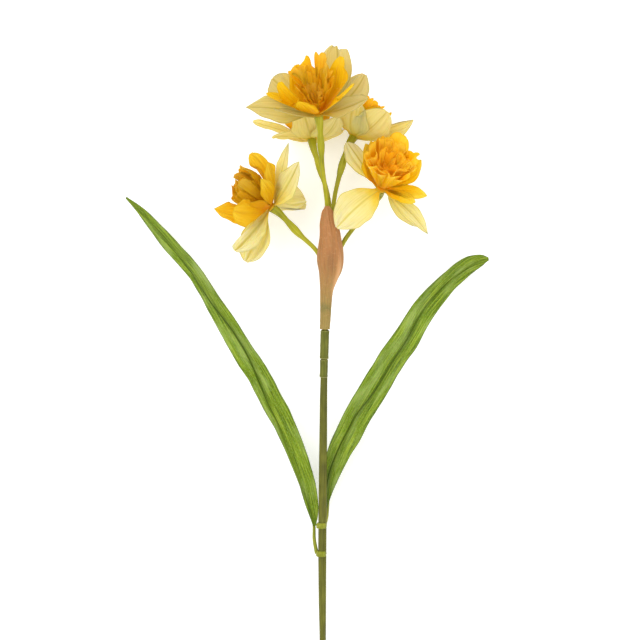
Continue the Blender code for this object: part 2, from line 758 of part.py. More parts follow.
def build_frill(name, bloom, frill, finish):
    """A ruffled cup with a floor, and a row of fingers along its rim."""
    axis, front, side = bloom_frame(bloom)
    centre = np.array(bloom.base) + axis * frill.start
    angles = np.arange(frill.columns) * 2 * math.pi / frill.columns
    turn = math.radians(bloom.turn)
    top = bloom.corona[-1][0] * frill.height
    radial = np.outer(np.cos(angles), front) + np.outer(np.sin(angles), side)
    points, faces = [centre], []
    for height, radius in bloom.corona:
        height, radius = height * frill.height, radius * frill.radius
        share = (height / top) ** 1.5
        height = height * (1.0 + bloom.slant * np.cos(angles))
        ruffle = frill.depth * share * np.sin(frill.ruffles * angles + turn)
        ruffle += 0.4 * frill.depth * share * np.sin((2 * frill.ruffles + 1) * angles - turn)
        drop = RIM_DIP * share * np.sin(2 * angles + 2 * turn)
        rows = np.outer(height + drop, axis)
        points += list(centre + radial * (radius + ruffle)[:, None] + rows)
    columns = frill.columns
    for j in range(columns):
        k = (j + 1) % columns
        faces.append((0, 1 + k, 1 + j))
        for i in range(len(bloom.corona) - 1):
            a, b = 1 + i * columns, 1 + (i + 1) * columns
            faces += [(a + j, a + k, b + j), (a + k, b + k, b + j)]
    rim = 1 + (len(bloom.corona) - 1) * columns
    for j in range(0, columns, columns // frill.fingers):
        k = (j + 1) % columns
        low = [np.array(points[rim + i - columns]) for i in (j, k)]
        high = [np.array(points[rim + i]) for i in (j, k)]
        flow = unit(high[0] + high[1] - low[0] - low[1]) * FINGER_LENGTH
        narrowing = FINGER_TAPER * (high[1] - high[0])
        first = len(points)
        points += [high[0] + flow + narrowing, high[1] + flow - narrowing]
        faces += [(rim + j, rim + k, first), (rim + k, first + 1, first)]
    points = np.array(points)
    points[:, 2] = np.maximum(points[:, 2], CORONA_THICKNESS / 2)
    return thicken(add_object(name, points, faces, finish), CORONA_THICKNESS)


def pedicel_path(bloom, stem_head):
    """From its place on the stem's head to the bloom, coming in along the bloom's axis."""
    around = math.radians(bloom.seat)
    seat = np.array([math.cos(around), 0.0, math.sin(around)])
    start = stem_head + seat * SEAT_RADIUS + np.array([0.0, GAP, 0.0])
    gathered = np.array(PEDICEL_BUNDLE) + seat * BUNDLE_RADIUS
    axis = unit(bloom.axis)
    base = np.array(bloom.base)
    rise = np.array([0.0, 5.0, 5.0 * STEM_SLOPE])
    points = [start, start + rise, gathered, *bloom.route, base - 9.0 * axis, base - axis * GAP]
    path = resampled(smooth_path(points, 6), PEDICEL_RINGS)
    path[-2] = base - 3.0 * axis
    return path


def build_pedicel(name, bloom, stem_head):
    path = pedicel_path(bloom, stem_head)
    along = distances(path)
    down, wide = np.array(PEDICEL_PROFILE).T
    radii = np.interp(along[-1] - along, down, wide)
    rooted = np.interp(along, (0.0, PEDICEL_ROOT), (PEDICEL_END_RADIUS, PEDICEL_PROFILE[-1][1]))
    radii = np.where(along > PEDICEL_ROOT, radii, np.minimum(radii, rooted))
    tube(name, path, radii, "stalk_green", PEDICEL_SIDES)


def build_bloom(name, bloom, stem_head):
    build_pedicel(f"pedicel_{name}", bloom, stem_head)
    build_petal_layer(f"outer_petals_{name}", bloom, bloom.outer, OUTER_HUB, 6, "pale_petal")
    build_petal_layer(f"inner_petals_{name}", bloom, bloom.inner, INNER_HUB, 5, "golden_petal")
    build_frill(f"corona_{name}", bloom, OUTER_FRILL, "corona")
    build_frill(f"corona_heart_{name}", bloom, INNER_FRILL, "corona_heart")


def rest_on_surface():
    """Presses what reaches the surface flat on it, and puts the origin at the middle of the base."""
    shapes = [bake_modifiers(obj) for obj in list(bpy.data.objects)]
    low, high = np.full(3, np.inf), np.full(3, -np.inf)
    for obj in shapes:
        for vertex in obj.data.vertices:
            if vertex.co.z < PRESSED * MM:
                vertex.co.z = 0.0
            low, high = np.minimum(low, vertex.co), np.maximum(high, vertex.co)
    for obj in shapes:
        for vertex in obj.data.vertices:
            vertex.co.x -= (low[0] + high[0]) / 2
            vertex.co.y -= (low[1] + high[1]) / 2
        obj.data.update()
        obj.data.shade_smooth()
        obj.data.set_sharp_from_angle(angle=SHARP)


def main():
    clear_scene()
    stem_head = build_stem()
    build_joint_sleeves()
    build_spathe()
    build_leaf("left", LEFT_LEAF, 3)
    build_leaf("right", RIGHT_LEAF, 5)
    for name, bloom in BLOOMS.items():
        build_bloom(name, bloom, stem_head)
    rest_on_surface()


main()
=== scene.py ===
"""Looks of a double daffodil spray that lies on a pale floor: cloth petals, frills and leaves, a
papery spathe and moulded plastic stalks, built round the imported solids.

Lengths are in millimetres in a design frame: +Y along the stem, X = Y = 0 where the spathe's neck
starts, Z = 0 on the floor. DESIGN_SHIFT takes them to the row frame.
"""

import math
from typing import NamedTuple

import bpy
import numpy as np
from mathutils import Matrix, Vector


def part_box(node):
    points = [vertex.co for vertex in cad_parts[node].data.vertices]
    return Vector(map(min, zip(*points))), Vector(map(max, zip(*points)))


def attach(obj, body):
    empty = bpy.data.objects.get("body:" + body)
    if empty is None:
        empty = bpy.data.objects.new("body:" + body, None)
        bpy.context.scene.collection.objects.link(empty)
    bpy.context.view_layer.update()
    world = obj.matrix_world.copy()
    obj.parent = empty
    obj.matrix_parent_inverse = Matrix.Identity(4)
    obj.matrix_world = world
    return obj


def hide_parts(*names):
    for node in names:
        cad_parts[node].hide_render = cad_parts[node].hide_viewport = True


MM = 0.001
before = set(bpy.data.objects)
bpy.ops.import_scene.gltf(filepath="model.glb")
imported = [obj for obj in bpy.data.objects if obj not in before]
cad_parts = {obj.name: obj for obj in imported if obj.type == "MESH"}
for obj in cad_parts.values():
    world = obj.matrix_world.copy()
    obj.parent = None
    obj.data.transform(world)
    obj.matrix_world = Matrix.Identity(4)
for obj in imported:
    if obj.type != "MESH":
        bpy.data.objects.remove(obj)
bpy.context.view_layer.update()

# The wire's lowest corner is this far from the design frame's origin, in X and Y.
WIRE_CORNER = (-3.5, -273.1)
WIRE_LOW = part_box("stem_wire")[0]
DESIGN_SHIFT = np.array([WIRE_LOW.x / MM - WIRE_CORNER[0], WIRE_LOW.y / MM - WIRE_CORNER[1], 0])

# ---- stem and leaves

STEM_PATH = [
    (-0.5, -273), (-2.1, -205), (-2.5, -170), (-1.9, -113),
    (-1.1, -53), (-0.2, -19), (0.4, 0), (1.2, 27),
]
STEM_RADII = [2.35, 2.35, 2.4, 2.5, 2.5, 2.3, 2.3, 2.3]
STEM_HEAD_RADIUS = 3.2
STEM_HEAD_LENGTH = 3
STEM_SLOPE = 0.105
STEM_SIDES = 40
STEM_ROWS = 260
WIRE_BORE = 1.4
GAP = 0.35
SLEEVE_BORE = STEM_RADII[-1] + GAP

JOINT_SLEEVES = {
    "joint_sleeve_lower": (-36.2, -22.8, 3.15),
    "joint_sleeve_upper": (-22.3, -0.8, 3.45),
}

# Spathe: (distance up from its neck, sideways place of its middle, radius, half wrap in degrees).
SPATHE_SECTIONS = [
    (0, 0.3, 3.5, 168),
    (12.5, 0.8, 3.8, 165),
    (27.8, 1.5, 4.7, 150),
    (35.4, 2.8, 6.2, 125),
    (43, 4.3, 8.1, 105),
    (50.7, 4.3, 9.7, 92),
    (58.4, 4.4, 9.6, 88),
    (66, 4.4, 8.7, 82),
    (73.7, 4, 7.7, 76),
    (81.3, 3, 6.3, 70),
    (88, 2.3, 4.6, 62),
    (92, 2, 2.6, 40),
]
SPATHE_FRONT = 1.5
SPATHE_DEPTH = 0.9
SPATHE_COLUMNS = 61
SPATHE_THICKNESS = 0.35

# Leaves: (X, Y, height, half width, roll in degrees, place of the crease across the blade).
LEFT_LEAF = [
    (-7.6, -149, 12.5, 1, -10, 0),
    (-8.6, -138.5, 13.5, 3.8, -12, -0.3),
    (-11.8, -123.5, 15, 5.6, -14, -0.62),
    (-14.5, -113, 16, 6.2, -12, -0.72),
    (-23, -89, 18.5, 7.2, -6, -0.7),
    (-32, -68, 20.5, 8.2, 0, -0.55),
    (-40, -53, 22, 8.6, 4, -0.45),
    (-49, -35, 23, 8.6, 8, -0.25),
    (-60, -18, 23, 8.4, 14, 0.1),
    (-71, 1, 22, 8, 20, 0),
    (-82, 19, 19.5, 7.8, 28, -0.35),
    (-92.5, 37, 16, 7.6, 32, -0.6),
    (-101, 48, 13.5, 7.4, 32, -0.45),
    (-115, 63, 9.5, 6.6, 28, -0.3),
    (-127, 76, 5.5, 5, 20, -0.2),
    (-140, 90, -0.9, 2.8, 0, -0.1),
    (-151, 100, -1.2, 0.7, 0, 0),
]
RIGHT_LEAF = [
    (1.4, -136, 9, 0.8, 30, -0.4),
    (2.8, -123, 9.8, 4.4, 24, -0.4),
    (6, -108, 11.5, 7.6, 16, -0.3),
    (12, -92, 14, 9, 10, -0.22),
    (18, -80, 16, 9.8, 6, -0.2),
    (25.5, -64.5, 19, 10.2, 2, -0.1),
    (36, -47, 22, 10.3, 0, 0.12),
    (50, -23, 24.5, 10.2, -4, 0.18),
    (60.5, -8, 25.5, 10, -6, 0.12),
    (73, 13, 24, 9.2, -10, 0.05),
    (84, 26.5, 19.5, 8.4, -14, 0.05),
    (95, 37.5, 11.5, 7.6, -14, 0.12),
    (108, 47.5, 0.8, 6.6, -3, 0.2),
    (119, 52.3, -3.5, 4.4, 0, 0.1),
    (125, 53.3, -3.5, 1.2, 0, 0),
]
LEAF_FOLD = 0.34
LEAF_ROWS = 190
LEAF_COLUMNS = 57
LEAF_THICKNESS = 0.5

COLLARS = {"left": (-170, 200), "right": (-148.5, -50)}
COLLAR_HEIGHT = 4.2
COLLAR_RADIUS = 4.1
RIB_RADIUS = 0.8
RIB_END = 0.72
RIB_ROWS = 21
RIB_SIDES = 14

# ---- pedicels and blooms

PEDICEL_PROFILE = [
    (0, 3.6), (5, 3), (10, 2.4), (14, 2.1), (18, 2.6),
    (23, 3), (28, 2.6), (32, 1.9), (40, 1.7),
]
PEDICEL_END_RADIUS = 1.15
PEDICEL_ROWS = 90
PEDICEL_SIDES = 24
PEDICEL_ROOT = 20
SEAT_RADIUS = 2.05
PEDICEL_BUNDLE = (2.6, 46, 36.4)
BUNDLE_RADIUS = 3.5

PETAL_THICKNESS = 0.32
PETAL_HOLLOW = 0.12
CAD_PETAL_THICKNESS = 0.7
PETAL_ROOT = 2.8
OUTER_HUB = (0, 1.6, 4)
INNER_HUB = (1.95, 3.5, 3.6)
HUB_SIDES = 30
CORONA_BASE = 3.9
CORONA_ROOM = (2.6, 4, 1.3)
UNDERSIDE = [(0, 0.8), (2.8, 0.8), (7.6, -0.8), (10.5, -8), (15, -17), (35, -50)]
TIER_STEP = 1.3
LAYER_ROOM = 0.03
PETAL_ROWS = 36
PETAL_COLUMNS = 35


class Petal(NamedTuple):
    """One petal: its tip from the bloom's base, how far it bows from the bloom's axis, its width,
    how far its face is turned up, how blunt its tip is, how far out it is widest and the depth of
    its pleats."""

    tip: tuple
    bow: float = 3.0
    width: float = 24.0
    turned: float = 0.0
    blunt: float = 0.5
    peak: float = 1.15
    pleat: float = 0.5


class Bloom(NamedTuple):
    """One bloom, in the same terms as its solids. Shade multiplies the colours of its outer
    petals, inner petals and frills; these darker or lighter copies of the cloths are partly
    painted shade, matching how brightly each bloom is lit. Fringe is the length of the fingers
    on its corona's rims, fingers how many each lobe has, crests how tall its lobes are in turn,
    and lean how far its rims fold outwards. Glow scales its petals' painted glow: they emit their
    own colour, which lifts their shade in place of light let through the cloth."""

    base: tuple
    axis: tuple
    fork: tuple
    corona: list
    turn: float
    seat: float
    route: list
    outer: list
    inner: list
    shade: tuple
    slant: float = 0.0
    fringe: float = 3.0
    heart: float = 1.0
    crests: tuple = (1,)
    glow: float = 1.0
    fingers: int = 5
    lean: float = 1.5


OPEN_CUP = [(0, 2.4), (4, 5.7), (16, 10.4), (29, 16)]
SHORT_CUP = [(0, 2.4), (4, 5.7), (14, 10.4), (24, 15)]
ROUND_CUP = [(0, 2.4), (4, 5.7), (13, 11.2), (22, 13), (31, 8.5)]
WIDE_CUP = [(0, 2.4), (4, 6.2), (15, 12.5), (31, 18.5)]

TOP = Bloom(
    base=(-4.6, 157, 69),
    axis=(-0.12, 0.92, 0.36),
    fork=(62, 20, 46, 29),
    corona=OPEN_CUP,
    turn=26,
    seat=90,
    route=[(1.5, 64, 40.5), (1.75, 93, 41), (-1.8, 122, 52)],
    outer=[
        Petal((-53, 6, 3), -2, 23, turned=0.7, blunt=0.1, peak=0.9),
        Petal((-35, 35, -8), 5, 26, turned=0.4, blunt=1),
        Petal((13, 54, -8), 8, 27, turned=0.2, blunt=1, peak=1.7),
        Petal((34, 31, -6), 5, 28, turned=0.4, blunt=1, peak=1.4),
        Petal((36, 11, 19), 1, 25, turned=0.3),
        Petal((-32, 3, 25), 1, 24),
    ],
    inner=[
        Petal((-38, 16, 8), 2, 17, turned=0.4),
        Petal((-28, 23, 20), 3, 18, turned=0.5, blunt=1),
        Petal((-16, 38, -5), 6, 20, blunt=1),
        Petal((14, 42, 8), 6, 22, turned=0.3, blunt=1),
        Petal((25, 9, 29), 3, 20, turned=0.6, blunt=1),
        Petal((-14, 8, 30), 2, 17),
    ],
    slant=-0.42,
    fringe=3.5,
    heart=0.62,
    crests=(0.46, 0.8, 1.05, 0.78, 0.92, 0.85, 0.46, 0.6, 0.95, 0.7, 0.85, 0.7, 0.42),
    lean=2.6,
    shade=((0.52, 0.54, 0.48), (0.67, 0.68, 0.3), (0.66, 0.69, 0.76)),
    glow=3.8,
)
BACK_LEFT = Bloom(
    base=(-9.6, 142, 30),
    axis=(-0.2, 0.93, -0.3),
    fork=(38, 38, 38, 38),
    corona=SHORT_CUP,
    turn=20,
    seat=234,
    route=[(2.6, 62, 31.5), (3.6, 93, 29), (-2.6, 118, 28)],
    outer=[
        Petal((-44, 14, -4), -1, 12, turned=0.2, blunt=1, peak=1.5),
        Petal((-29, 1, 20), -2, 13, blunt=1, peak=1.6),
        Petal((-6, 20, 28), 5, 25, blunt=1),
        Petal((19, 15, 24), 5, 25, blunt=1),
        Petal((24, 10, -33), 3, 22),
        Petal((-15, 11, -32), 4, 23),
    ],
    inner=[
        Petal((-24, 19, 12), 2, 15),
        Petal((-8, 31, 18), 4, 16),
        Petal((12, 32, 12), 4, 15),
        Petal((14, 31, -8), 4, 14),
        Petal((0, 30, -20), 5, 16),
        Petal((-22, 25, -14), 5, 16),
    ],
    shade=((0.92, 0.91, 0.8), (0.95, 0.95, 0.95), (0.9, 0.9, 0.9)),
)
BACK_RIGHT = Bloom(
    base=(21.8, 144, 31),
    axis=(0.46, 0.84, -0.25),
    fork=(44, 46, 44, 44),
    corona=SHORT_CUP,
    turn=40,
    seat=306,
    route=[(6.4, 62, 34), (6.8, 93, 34.5), (11.9, 118, 31.5)],
    outer=[
        Petal((1, 25, 29), 5, 29, blunt=1),
        Petal((24, 17, 30), 5, 28, blunt=1),
        Petal((45, 14, 4), 1, 22, turned=0.8),
        Petal((32, 6, -31), 3, 24),
        Petal((6, 28, -30), 5, 22),
        Petal((-8, 38, -14), 5, 18),
    ],
    inner=[
        Petal((2, 25, 14), 3, 15),
        Petal((19, 21, 15), 3, 15),
        Petal((28, 18, 4), 3, 15),
        Petal((28, 12, -16), 4, 16),
        Petal((13, 30, -21), 5, 16),
        Petal((-4, 36, -5), 5, 15),
    ],
    shade=((0.84, 0.85, 0.76), (0.84, 0.86, 0.86), (0.9, 0.9, 0.9)),
)
LEFT = Bloom(
    base=(-39, 90.5, 40),
    axis=(-0.76, 0.6, 0.25),
    fork=(36, 24, 36, 12),
    corona=ROUND_CUP,
    turn=60,
    seat=162,
    route=[(-6, 58.5, 35), (-19.4, 71.5, 37)],
    outer=[
        Petal((12, 48, 6), 0, 13, turned=0.5, blunt=0.1, peak=0.8),
        Petal((20, 33, 22), 1, 22, turned=0.6, blunt=0.3, peak=0.75),
        Petal((25, 5, -17), 1, 28, turned=0.7, blunt=1, pleat=1.2),
        Petal((-28, -32, 6), 1, 22, turned=0.6, blunt=1, pleat=1),
        Petal((-20, -40, -8), 0, 24, turned=0.7, blunt=1, pleat=1.1),
        Petal((-25, 2, -42), 3, 23),
    ],
    inner=[
        Petal((-16, 40, 8), 4, 17, turned=0.5, blunt=1, peak=1.6),
        Petal((-3, 33, 16), 3, 16, turned=0.5),
        Petal((-8, 20, 26), 3, 13, turned=0.3),
        Petal((-28, -3, 27), 3, 24, turned=1, blunt=1),
        Petal((-43, -1, 8), 3, 20, turned=0.6, blunt=0.2),
        Petal((-26, 20, -21), 4, 17),
    ],
    fringe=4.2,
    fingers=3,
    lean=-0.7,
    crests=(0.8, 1.02, 0.72, 1, 0.88),
    shade=((0.9, 0.94, 1.04), (0.8, 0.82, 1), (0.56, 0.61, 0.66)),
)
RIGHT = Bloom(
    base=(42, 104, 39),
    axis=(0.24, 0.69, 0.68),
    fork=(36, 14, 14, 30),
    corona=WIDE_CUP,
    turn=10,
    seat=18,
    route=[(13, 62.5, 36), (21, 74.6, 36)],
    outer=[
        Petal((-25, 36, 4), 0, 19, turned=0.7, blunt=1, peak=2),
        Petal((-33, -29, 14), -4, 28, turned=0.7, blunt=0.7),
        Petal((35, -33, 2), -3, 13, turned=0.5, blunt=0.1, pleat=0.9),
        Petal((28, -27, -10), 0, 14, turned=0.6, pleat=0.9),
        Petal((9, 23, -40), 3, 22),
        Petal((9, 4, -41), 2, 21),
    ],
    inner=[
        Petal((-7, 35, 14), 4, 18),
        Petal((-8, 31, 17), 3, 18, turned=0.3),
        Petal((25, -10, 17), 2, 14, turned=0.5),
        Petal((34, -5, 9), 1, 15, turned=0.5),
        Petal((30, 22, 2), 4, 18),
        Petal((10, 37, -6), 5, 16),
    ],
    fringe=2.6,
    shade=((0.9, 0.94, 1.1), (0.95, 1.1, 2.4), (0.9, 0.92, 0.92)),
    slant=-0.1,
)
BLOOMS = dict(top=TOP, back_left=BACK_LEFT, back_right=BACK_RIGHT, left=LEFT, right=RIGHT)


class Frill(NamedTuple):
    """A ring of overlapping ruffled lobes: the height of its floor over the bloom's base, its
    height and radius as shares of the bloom's corona, its lobes and the depth of their ruffles."""

    start: float
    height: float
    radius: float
    lobes: int
    depth: float


OUTER_FRILLS = [Frill(CORONA_BASE, 1.04, 0.98, 7, 2.4), Frill(CORONA_BASE, 1, 0.74, 6, 2.4)]
HEART_BASE = CORONA_BASE + 1.2
INNER_FRILLS = [Frill(HEART_BASE, 0.92, 0.48, 4, 2), Frill(HEART_BASE, 0.74, 0.22, 3, 1.6)]
LOBE_OVERLAP = 1.4
LOBE_STAGGER = 0.8
LOBE_ROOT = 0.03
LOBE_ROWS = 22
LOBE_COLUMNS = 49
FRILL_THICKNESS = 0.3

# ---- curves


def unit(v):
    """The vectors at length 1."""
    v = np.asarray(v, float)
    return v / np.maximum(np.linalg.norm(v, axis=-1, keepdims=True), 1e-9)


def smooth_path(points, per_span):
    """Points on a Catmull-Rom curve through the given ones, with the same number in each span."""
    p = np.asarray(points, float)
    padded = np.vstack([2 * p[0] - p[1], p, 2 * p[-1] - p[-2]])
    t = (np.arange(per_span) / per_span)[:, None]
    spans = []
    for i in range(1, len(padded) - 2):
        a, b, c, d = padded[i - 1 : i + 3]
        square, cubic = 2 * a - 5 * b + 4 * c - d, 3 * b - a - 3 * c + d
        spans.append(0.5 * (2 * b + (c - a) * t + square * t**2 + cubic * t**3))
    return np.vstack(spans + [p[-1:]])


def distances(path):
    """How far along the path each of its points is."""
    steps = np.linalg.norm(np.diff(path[:, :3], axis=0), axis=1)
    return np.concatenate([[0], np.cumsum(steps)])


def resampled(path, count):
    """The path as count evenly spaced points."""
    along = distances(path)
    wanted = np.linspace(0, along[-1], count)
    return np.column_stack([np.interp(wanted, along, path[:, k]) for k in range(path.shape[1])])


def stem_height(y):
    """The height of the stem's middle line at a place along it."""
    return STEM_RADII[0] + STEM_SLOPE * (y - STEM_PATH[0][1])


def stem_point(y):
    """The stem's middle line at a place along it."""
    path = np.array(STEM_PATH)
    return np.array([np.interp(y, path[:, 1], path[:, 0]), y, stem_height(y)])


def beside_stem(degrees):
    """The direction across +Y at an angle round it."""
    angle = math.radians(degrees)
    return np.array([math.cos(angle), 0, math.sin(angle)])


def full_turn(count):
    """Evenly spaced angles round a circle."""
    return np.arange(count) * 2 * math.pi / count


def swell(x, middle, reach):
    """A smooth hump: 1 at its middle, falling to 0 past its reach."""
    return np.exp(-(((x - middle) / reach) ** 2))


def ripple(x, seed):
    """A smooth, repeatable wave of about 1 in height from a few sines."""
    rng = np.random.default_rng(seed)
    total = 0
    for k in range(4):
        rate, phase = (1 + 0.9 * k) * rng.uniform(0.8, 1.2), rng.uniform(0, 2 * math.pi)
        total += np.sin(rate * x + phase) / (1 + k)
    return total / 1.6


# ---- meshes

FAR_FROM_EDGE = 9
CLOTH_SHARP = 60


def placed(name, data):
    """A new object in the scene."""
    made = bpy.data.objects.new(name, data)
    bpy.context.scene.collection.objects.link(made)
    return made


class Shape:
    """Points, faces, each point's place on its piece, (along, across, tone), and how far it is
    from the piece's edge, in millimetres."""

    def __init__(self):
        self.points, self.places, self.edges, self.faces, self.count = [], [], [], [], 0

    def add(self, points, places, edges, *faces):
        self.points.append(points.reshape(-1, 3))
        self.places.append(places.reshape(-1, 3))
        self.edges.append(edges.reshape(-1))
        for block in faces:
            self.faces += (block + self.count).tolist()
        self.count += edges.size

    def sheet(self, grid, place, thickness):
        """A closed sheet from rows of points, with half its thickness to each side. It lies on the
        floor where the rows would go through it."""
        grid[..., 2] = np.maximum(grid[..., 2], thickness / 2)
        rows, columns = grid.shape[:2]
        u, v = np.linspace(0, 1, rows)[:, None], np.linspace(0, 1, columns)[None]
        widths = np.linalg.norm(np.diff(grid, axis=1), axis=-1).sum(axis=1)[:, None]
        lengths = np.linalg.norm(np.diff(grid, axis=0), axis=-1).sum(axis=0)[None]
        widths = np.maximum(widths, 0.5 * widths[rows // 2])
        edge = np.minimum(np.minimum(v, 1 - v) * widths, (1 - u) * lengths)
        normal = unit(np.cross(np.gradient(grid, axis=1), np.gradient(grid, axis=0)))
        offset = thickness / 2 * normal
        index = np.arange(rows * columns).reshape(rows, columns)
        a, b = index[:-1, :-1], index[:-1, 1:]
        c, d = index[1:, 1:], index[1:, :-1]
        front = np.stack([a, b, c, d], -1).reshape(-1, 4)
        border = np.concatenate([index[0, :-1], index[:-1, -1], index[-1, :0:-1], index[:0:-1, 0]])
        after = np.roll(border, -1)
        under = rows * columns
        back = front[:, ::-1] + under
        rim = np.stack([after, border, border + under, after + under], -1)
        points = np.stack([grid + offset, grid - offset])
        self.add(points, np.stack([place] * 2), np.stack([edge] * 2), front, back, rim)

    def rod(self, path, radii, sides, bore=None, tone=0):
        """A rod or pipe along a path. radii may be one per point, or points by sides."""
        tangents = unit(np.gradient(path, axis=0))
        across = unit(np.cross(tangents[0], (0, 0, 1)))
        angles = full_turn(sides)
        radii = np.reshape(radii, (len(path), -1)) * np.ones(sides)
        rings, places = [], []
        for tangent, far in zip(tangents, distances(path)):
            across = unit(across - tangent * (across @ tangent))
            up = np.cross(across, tangent)
            rings.append(np.outer(np.cos(angles), across) + np.outer(np.sin(angles), up))
            places.append(np.column_stack([np.full(sides, far), angles, np.full(sides, tone)]))
        loops = [centre + r[:, None] * ring for centre, r, ring in zip(path, radii, rings)]
        if bore:
            loops += [path[k] + bore * rings[k] for k in (-1, 0)]
            places += [places[-1], places[0]]
        count = len(loops)
        i = np.arange(sides)
        j = (i + 1) % sides
        a = np.arange(count if bore else count - 1)[:, None] * sides
        b = (a + sides) % (count * sides)
        faces = [np.stack([b + i, b + j, a + j, a + i], -1).reshape(-1, 4)]
        if not bore:
            faces.append(np.stack([i, (count - 1) * sides + i[::-1]]))
        edges = np.full(count * sides, FAR_FROM_EDGE)
        self.add(np.vstack(loops), np.vstack(places), edges, *faces)

    def piece(self, name, finish, replaced, slot, sharp=50):
        """The shape as an object that rides on the root body."""
        points = (np.vstack(self.points) + DESIGN_SHIFT) * MM
        mesh = bpy.data.meshes.new(name)
        mesh.from_pydata(points.tolist(), [], self.faces)
        for label, kind, key, values in (
            ("place", "FLOAT_VECTOR", "vector", self.places),
            ("edge", "FLOAT", "value", self.edges),
        ):
            attribute = mesh.attributes.new(label, kind, "POINT")
            attribute.data.foreach_set(key, np.concatenate(values).ravel())
        mesh.materials.append(finish)
        mesh.shade_smooth()
        mesh.set_sharp_from_angle(angle=math.radians(sharp))
        made = placed(name, mesh)
        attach(made, "root")
        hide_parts(*replaced)


# ---- materials


def node(tree, kind, inputs=None, **settings):
    """A new shader node. Its inputs are sockets to link or plain values."""
    made = tree.nodes.new(kind)
    for key, value in settings.items():
        setattr(made, key, value)
    for key, value in (inputs or {}).items():
        if isinstance(value, bpy.types.NodeSocket):
            tree.links.new(value, made.inputs[key])
        else:
            made.inputs[key].default_value = value
    return made


def maths(tree, operation, a, b=0, c=0, clamp=False):
    made = node(tree, "ShaderNodeMath", {0: a, 1: b, 2: c}, operation=operation, use_clamp=clamp)
    return made.outputs[0]


def times(tree, a, b):
    return maths(tree, "MULTIPLY", a, b)


def scaled(tree, value, gain, offset):
    return maths(tree, "MULTIPLY_ADD", value, gain, offset)


def gate(tree, value, gain, offset):
    """value * gain + offset, held between 0 and 1."""
    return maths(tree, "MULTIPLY_ADD", value, gain, offset, clamp=True)


def ramp(tree, value, stops):
    """A colour ramp: stops are (position, (red, green, blue))."""
    made = node(tree, "ShaderNodeValToRGB", {0: value})
    elements = made.color_ramp.elements
    elements.remove(elements[1])
    elements[0].position = stops[0][0]
    elements[0].color = (*stops[0][1], 1)
    for position, colour in stops[1:]:
        elements.new(position).color = (*colour, 1)
    return made.outputs[0]


def mixed(tree, share, colour, tint, blend="MIX"):
    inputs = {0: share, 6: colour, 7: (*tint, 1)}
    return node(tree, "ShaderNodeMix", inputs, data_type="RGBA", blend_type=blend).outputs[2]


def stained(tree, colour, *stains):
    """The colour under its stains. Each has a value that says where, a strength and a tint."""
    for where, strength, tint in stains:
        colour = mixed(tree, times(tree, where, strength), colour, tint)
    return colour


def noise(tree, place, scale, detail=3, roughness=0.55):
    inputs = {"Vector": place, "Scale": scale, "Detail": detail, "Roughness": roughness}
    return node(tree, "ShaderNodeTexNoise", inputs).outputs[0]


def vector(tree, x, y, z=0):
    return node(tree, "ShaderNodeCombineXYZ", {0: x, 1: y, 2: z}).outputs[0]


SUBSURFACE_DEPTH = 2 * MM
CLOTH_SCATTER = (1, 0.7, 0.25)


def start_material(name, roughness, subsurface=0, scatter=CLOTH_SCATTER, sheen=0, level=0.25):
    """A new material, its tree and shader, the piece's own (along, across, tone), and the place in
    space. scatter is how far red, green and blue light spread under the surface."""
    made = bpy.data.materials.new(name)
    made.use_nodes = True
    tree = made.node_tree
    shader = tree.nodes["Principled BSDF"]
    for socket, value in (
        ("Roughness", roughness),
        ("Specular IOR Level", level),
        ("Subsurface Weight", subsurface),
        ("Subsurface Radius", scatter),
        ("Subsurface Scale", SUBSURFACE_DEPTH),
        ("Sheen Weight", sheen),
        ("Sheen Roughness", 0.4),
    ):
        shader.inputs[socket].default_value = value
    place = node(tree, "ShaderNodeAttribute", attribute_name="place")
    parts = node(tree, "ShaderNodeSeparateXYZ", {0: place.outputs["Vector"]}).outputs
    spot = node(tree, "ShaderNodeTexCoord").outputs["Object"]
    return made, tree, shader, parts, spot


def connect(tree, shader, colour, bump, distance, roughness=None):
    """Gives the shader its colour, its relief of that many millimetres, and its roughness."""
    tree.links.new(colour, shader.inputs["Base Color"])
    if roughness is not None:
        tree.links.new(roughness, shader.inputs["Roughness"])
    inputs = {"Distance": distance * MM, "Height": bump}
    tree.links.new(node(tree, "ShaderNodeBump", inputs).outputs[0], shader.inputs["Normal"])


def near_edge(tree, reach):
    """1 at the piece's edge, falling to 0 at reach millimetres from it."""
    edge = node(tree, "ShaderNodeAttribute", attribute_name="edge").outputs["Fac"]
    return gate(tree, edge, -1 / reach, 1)


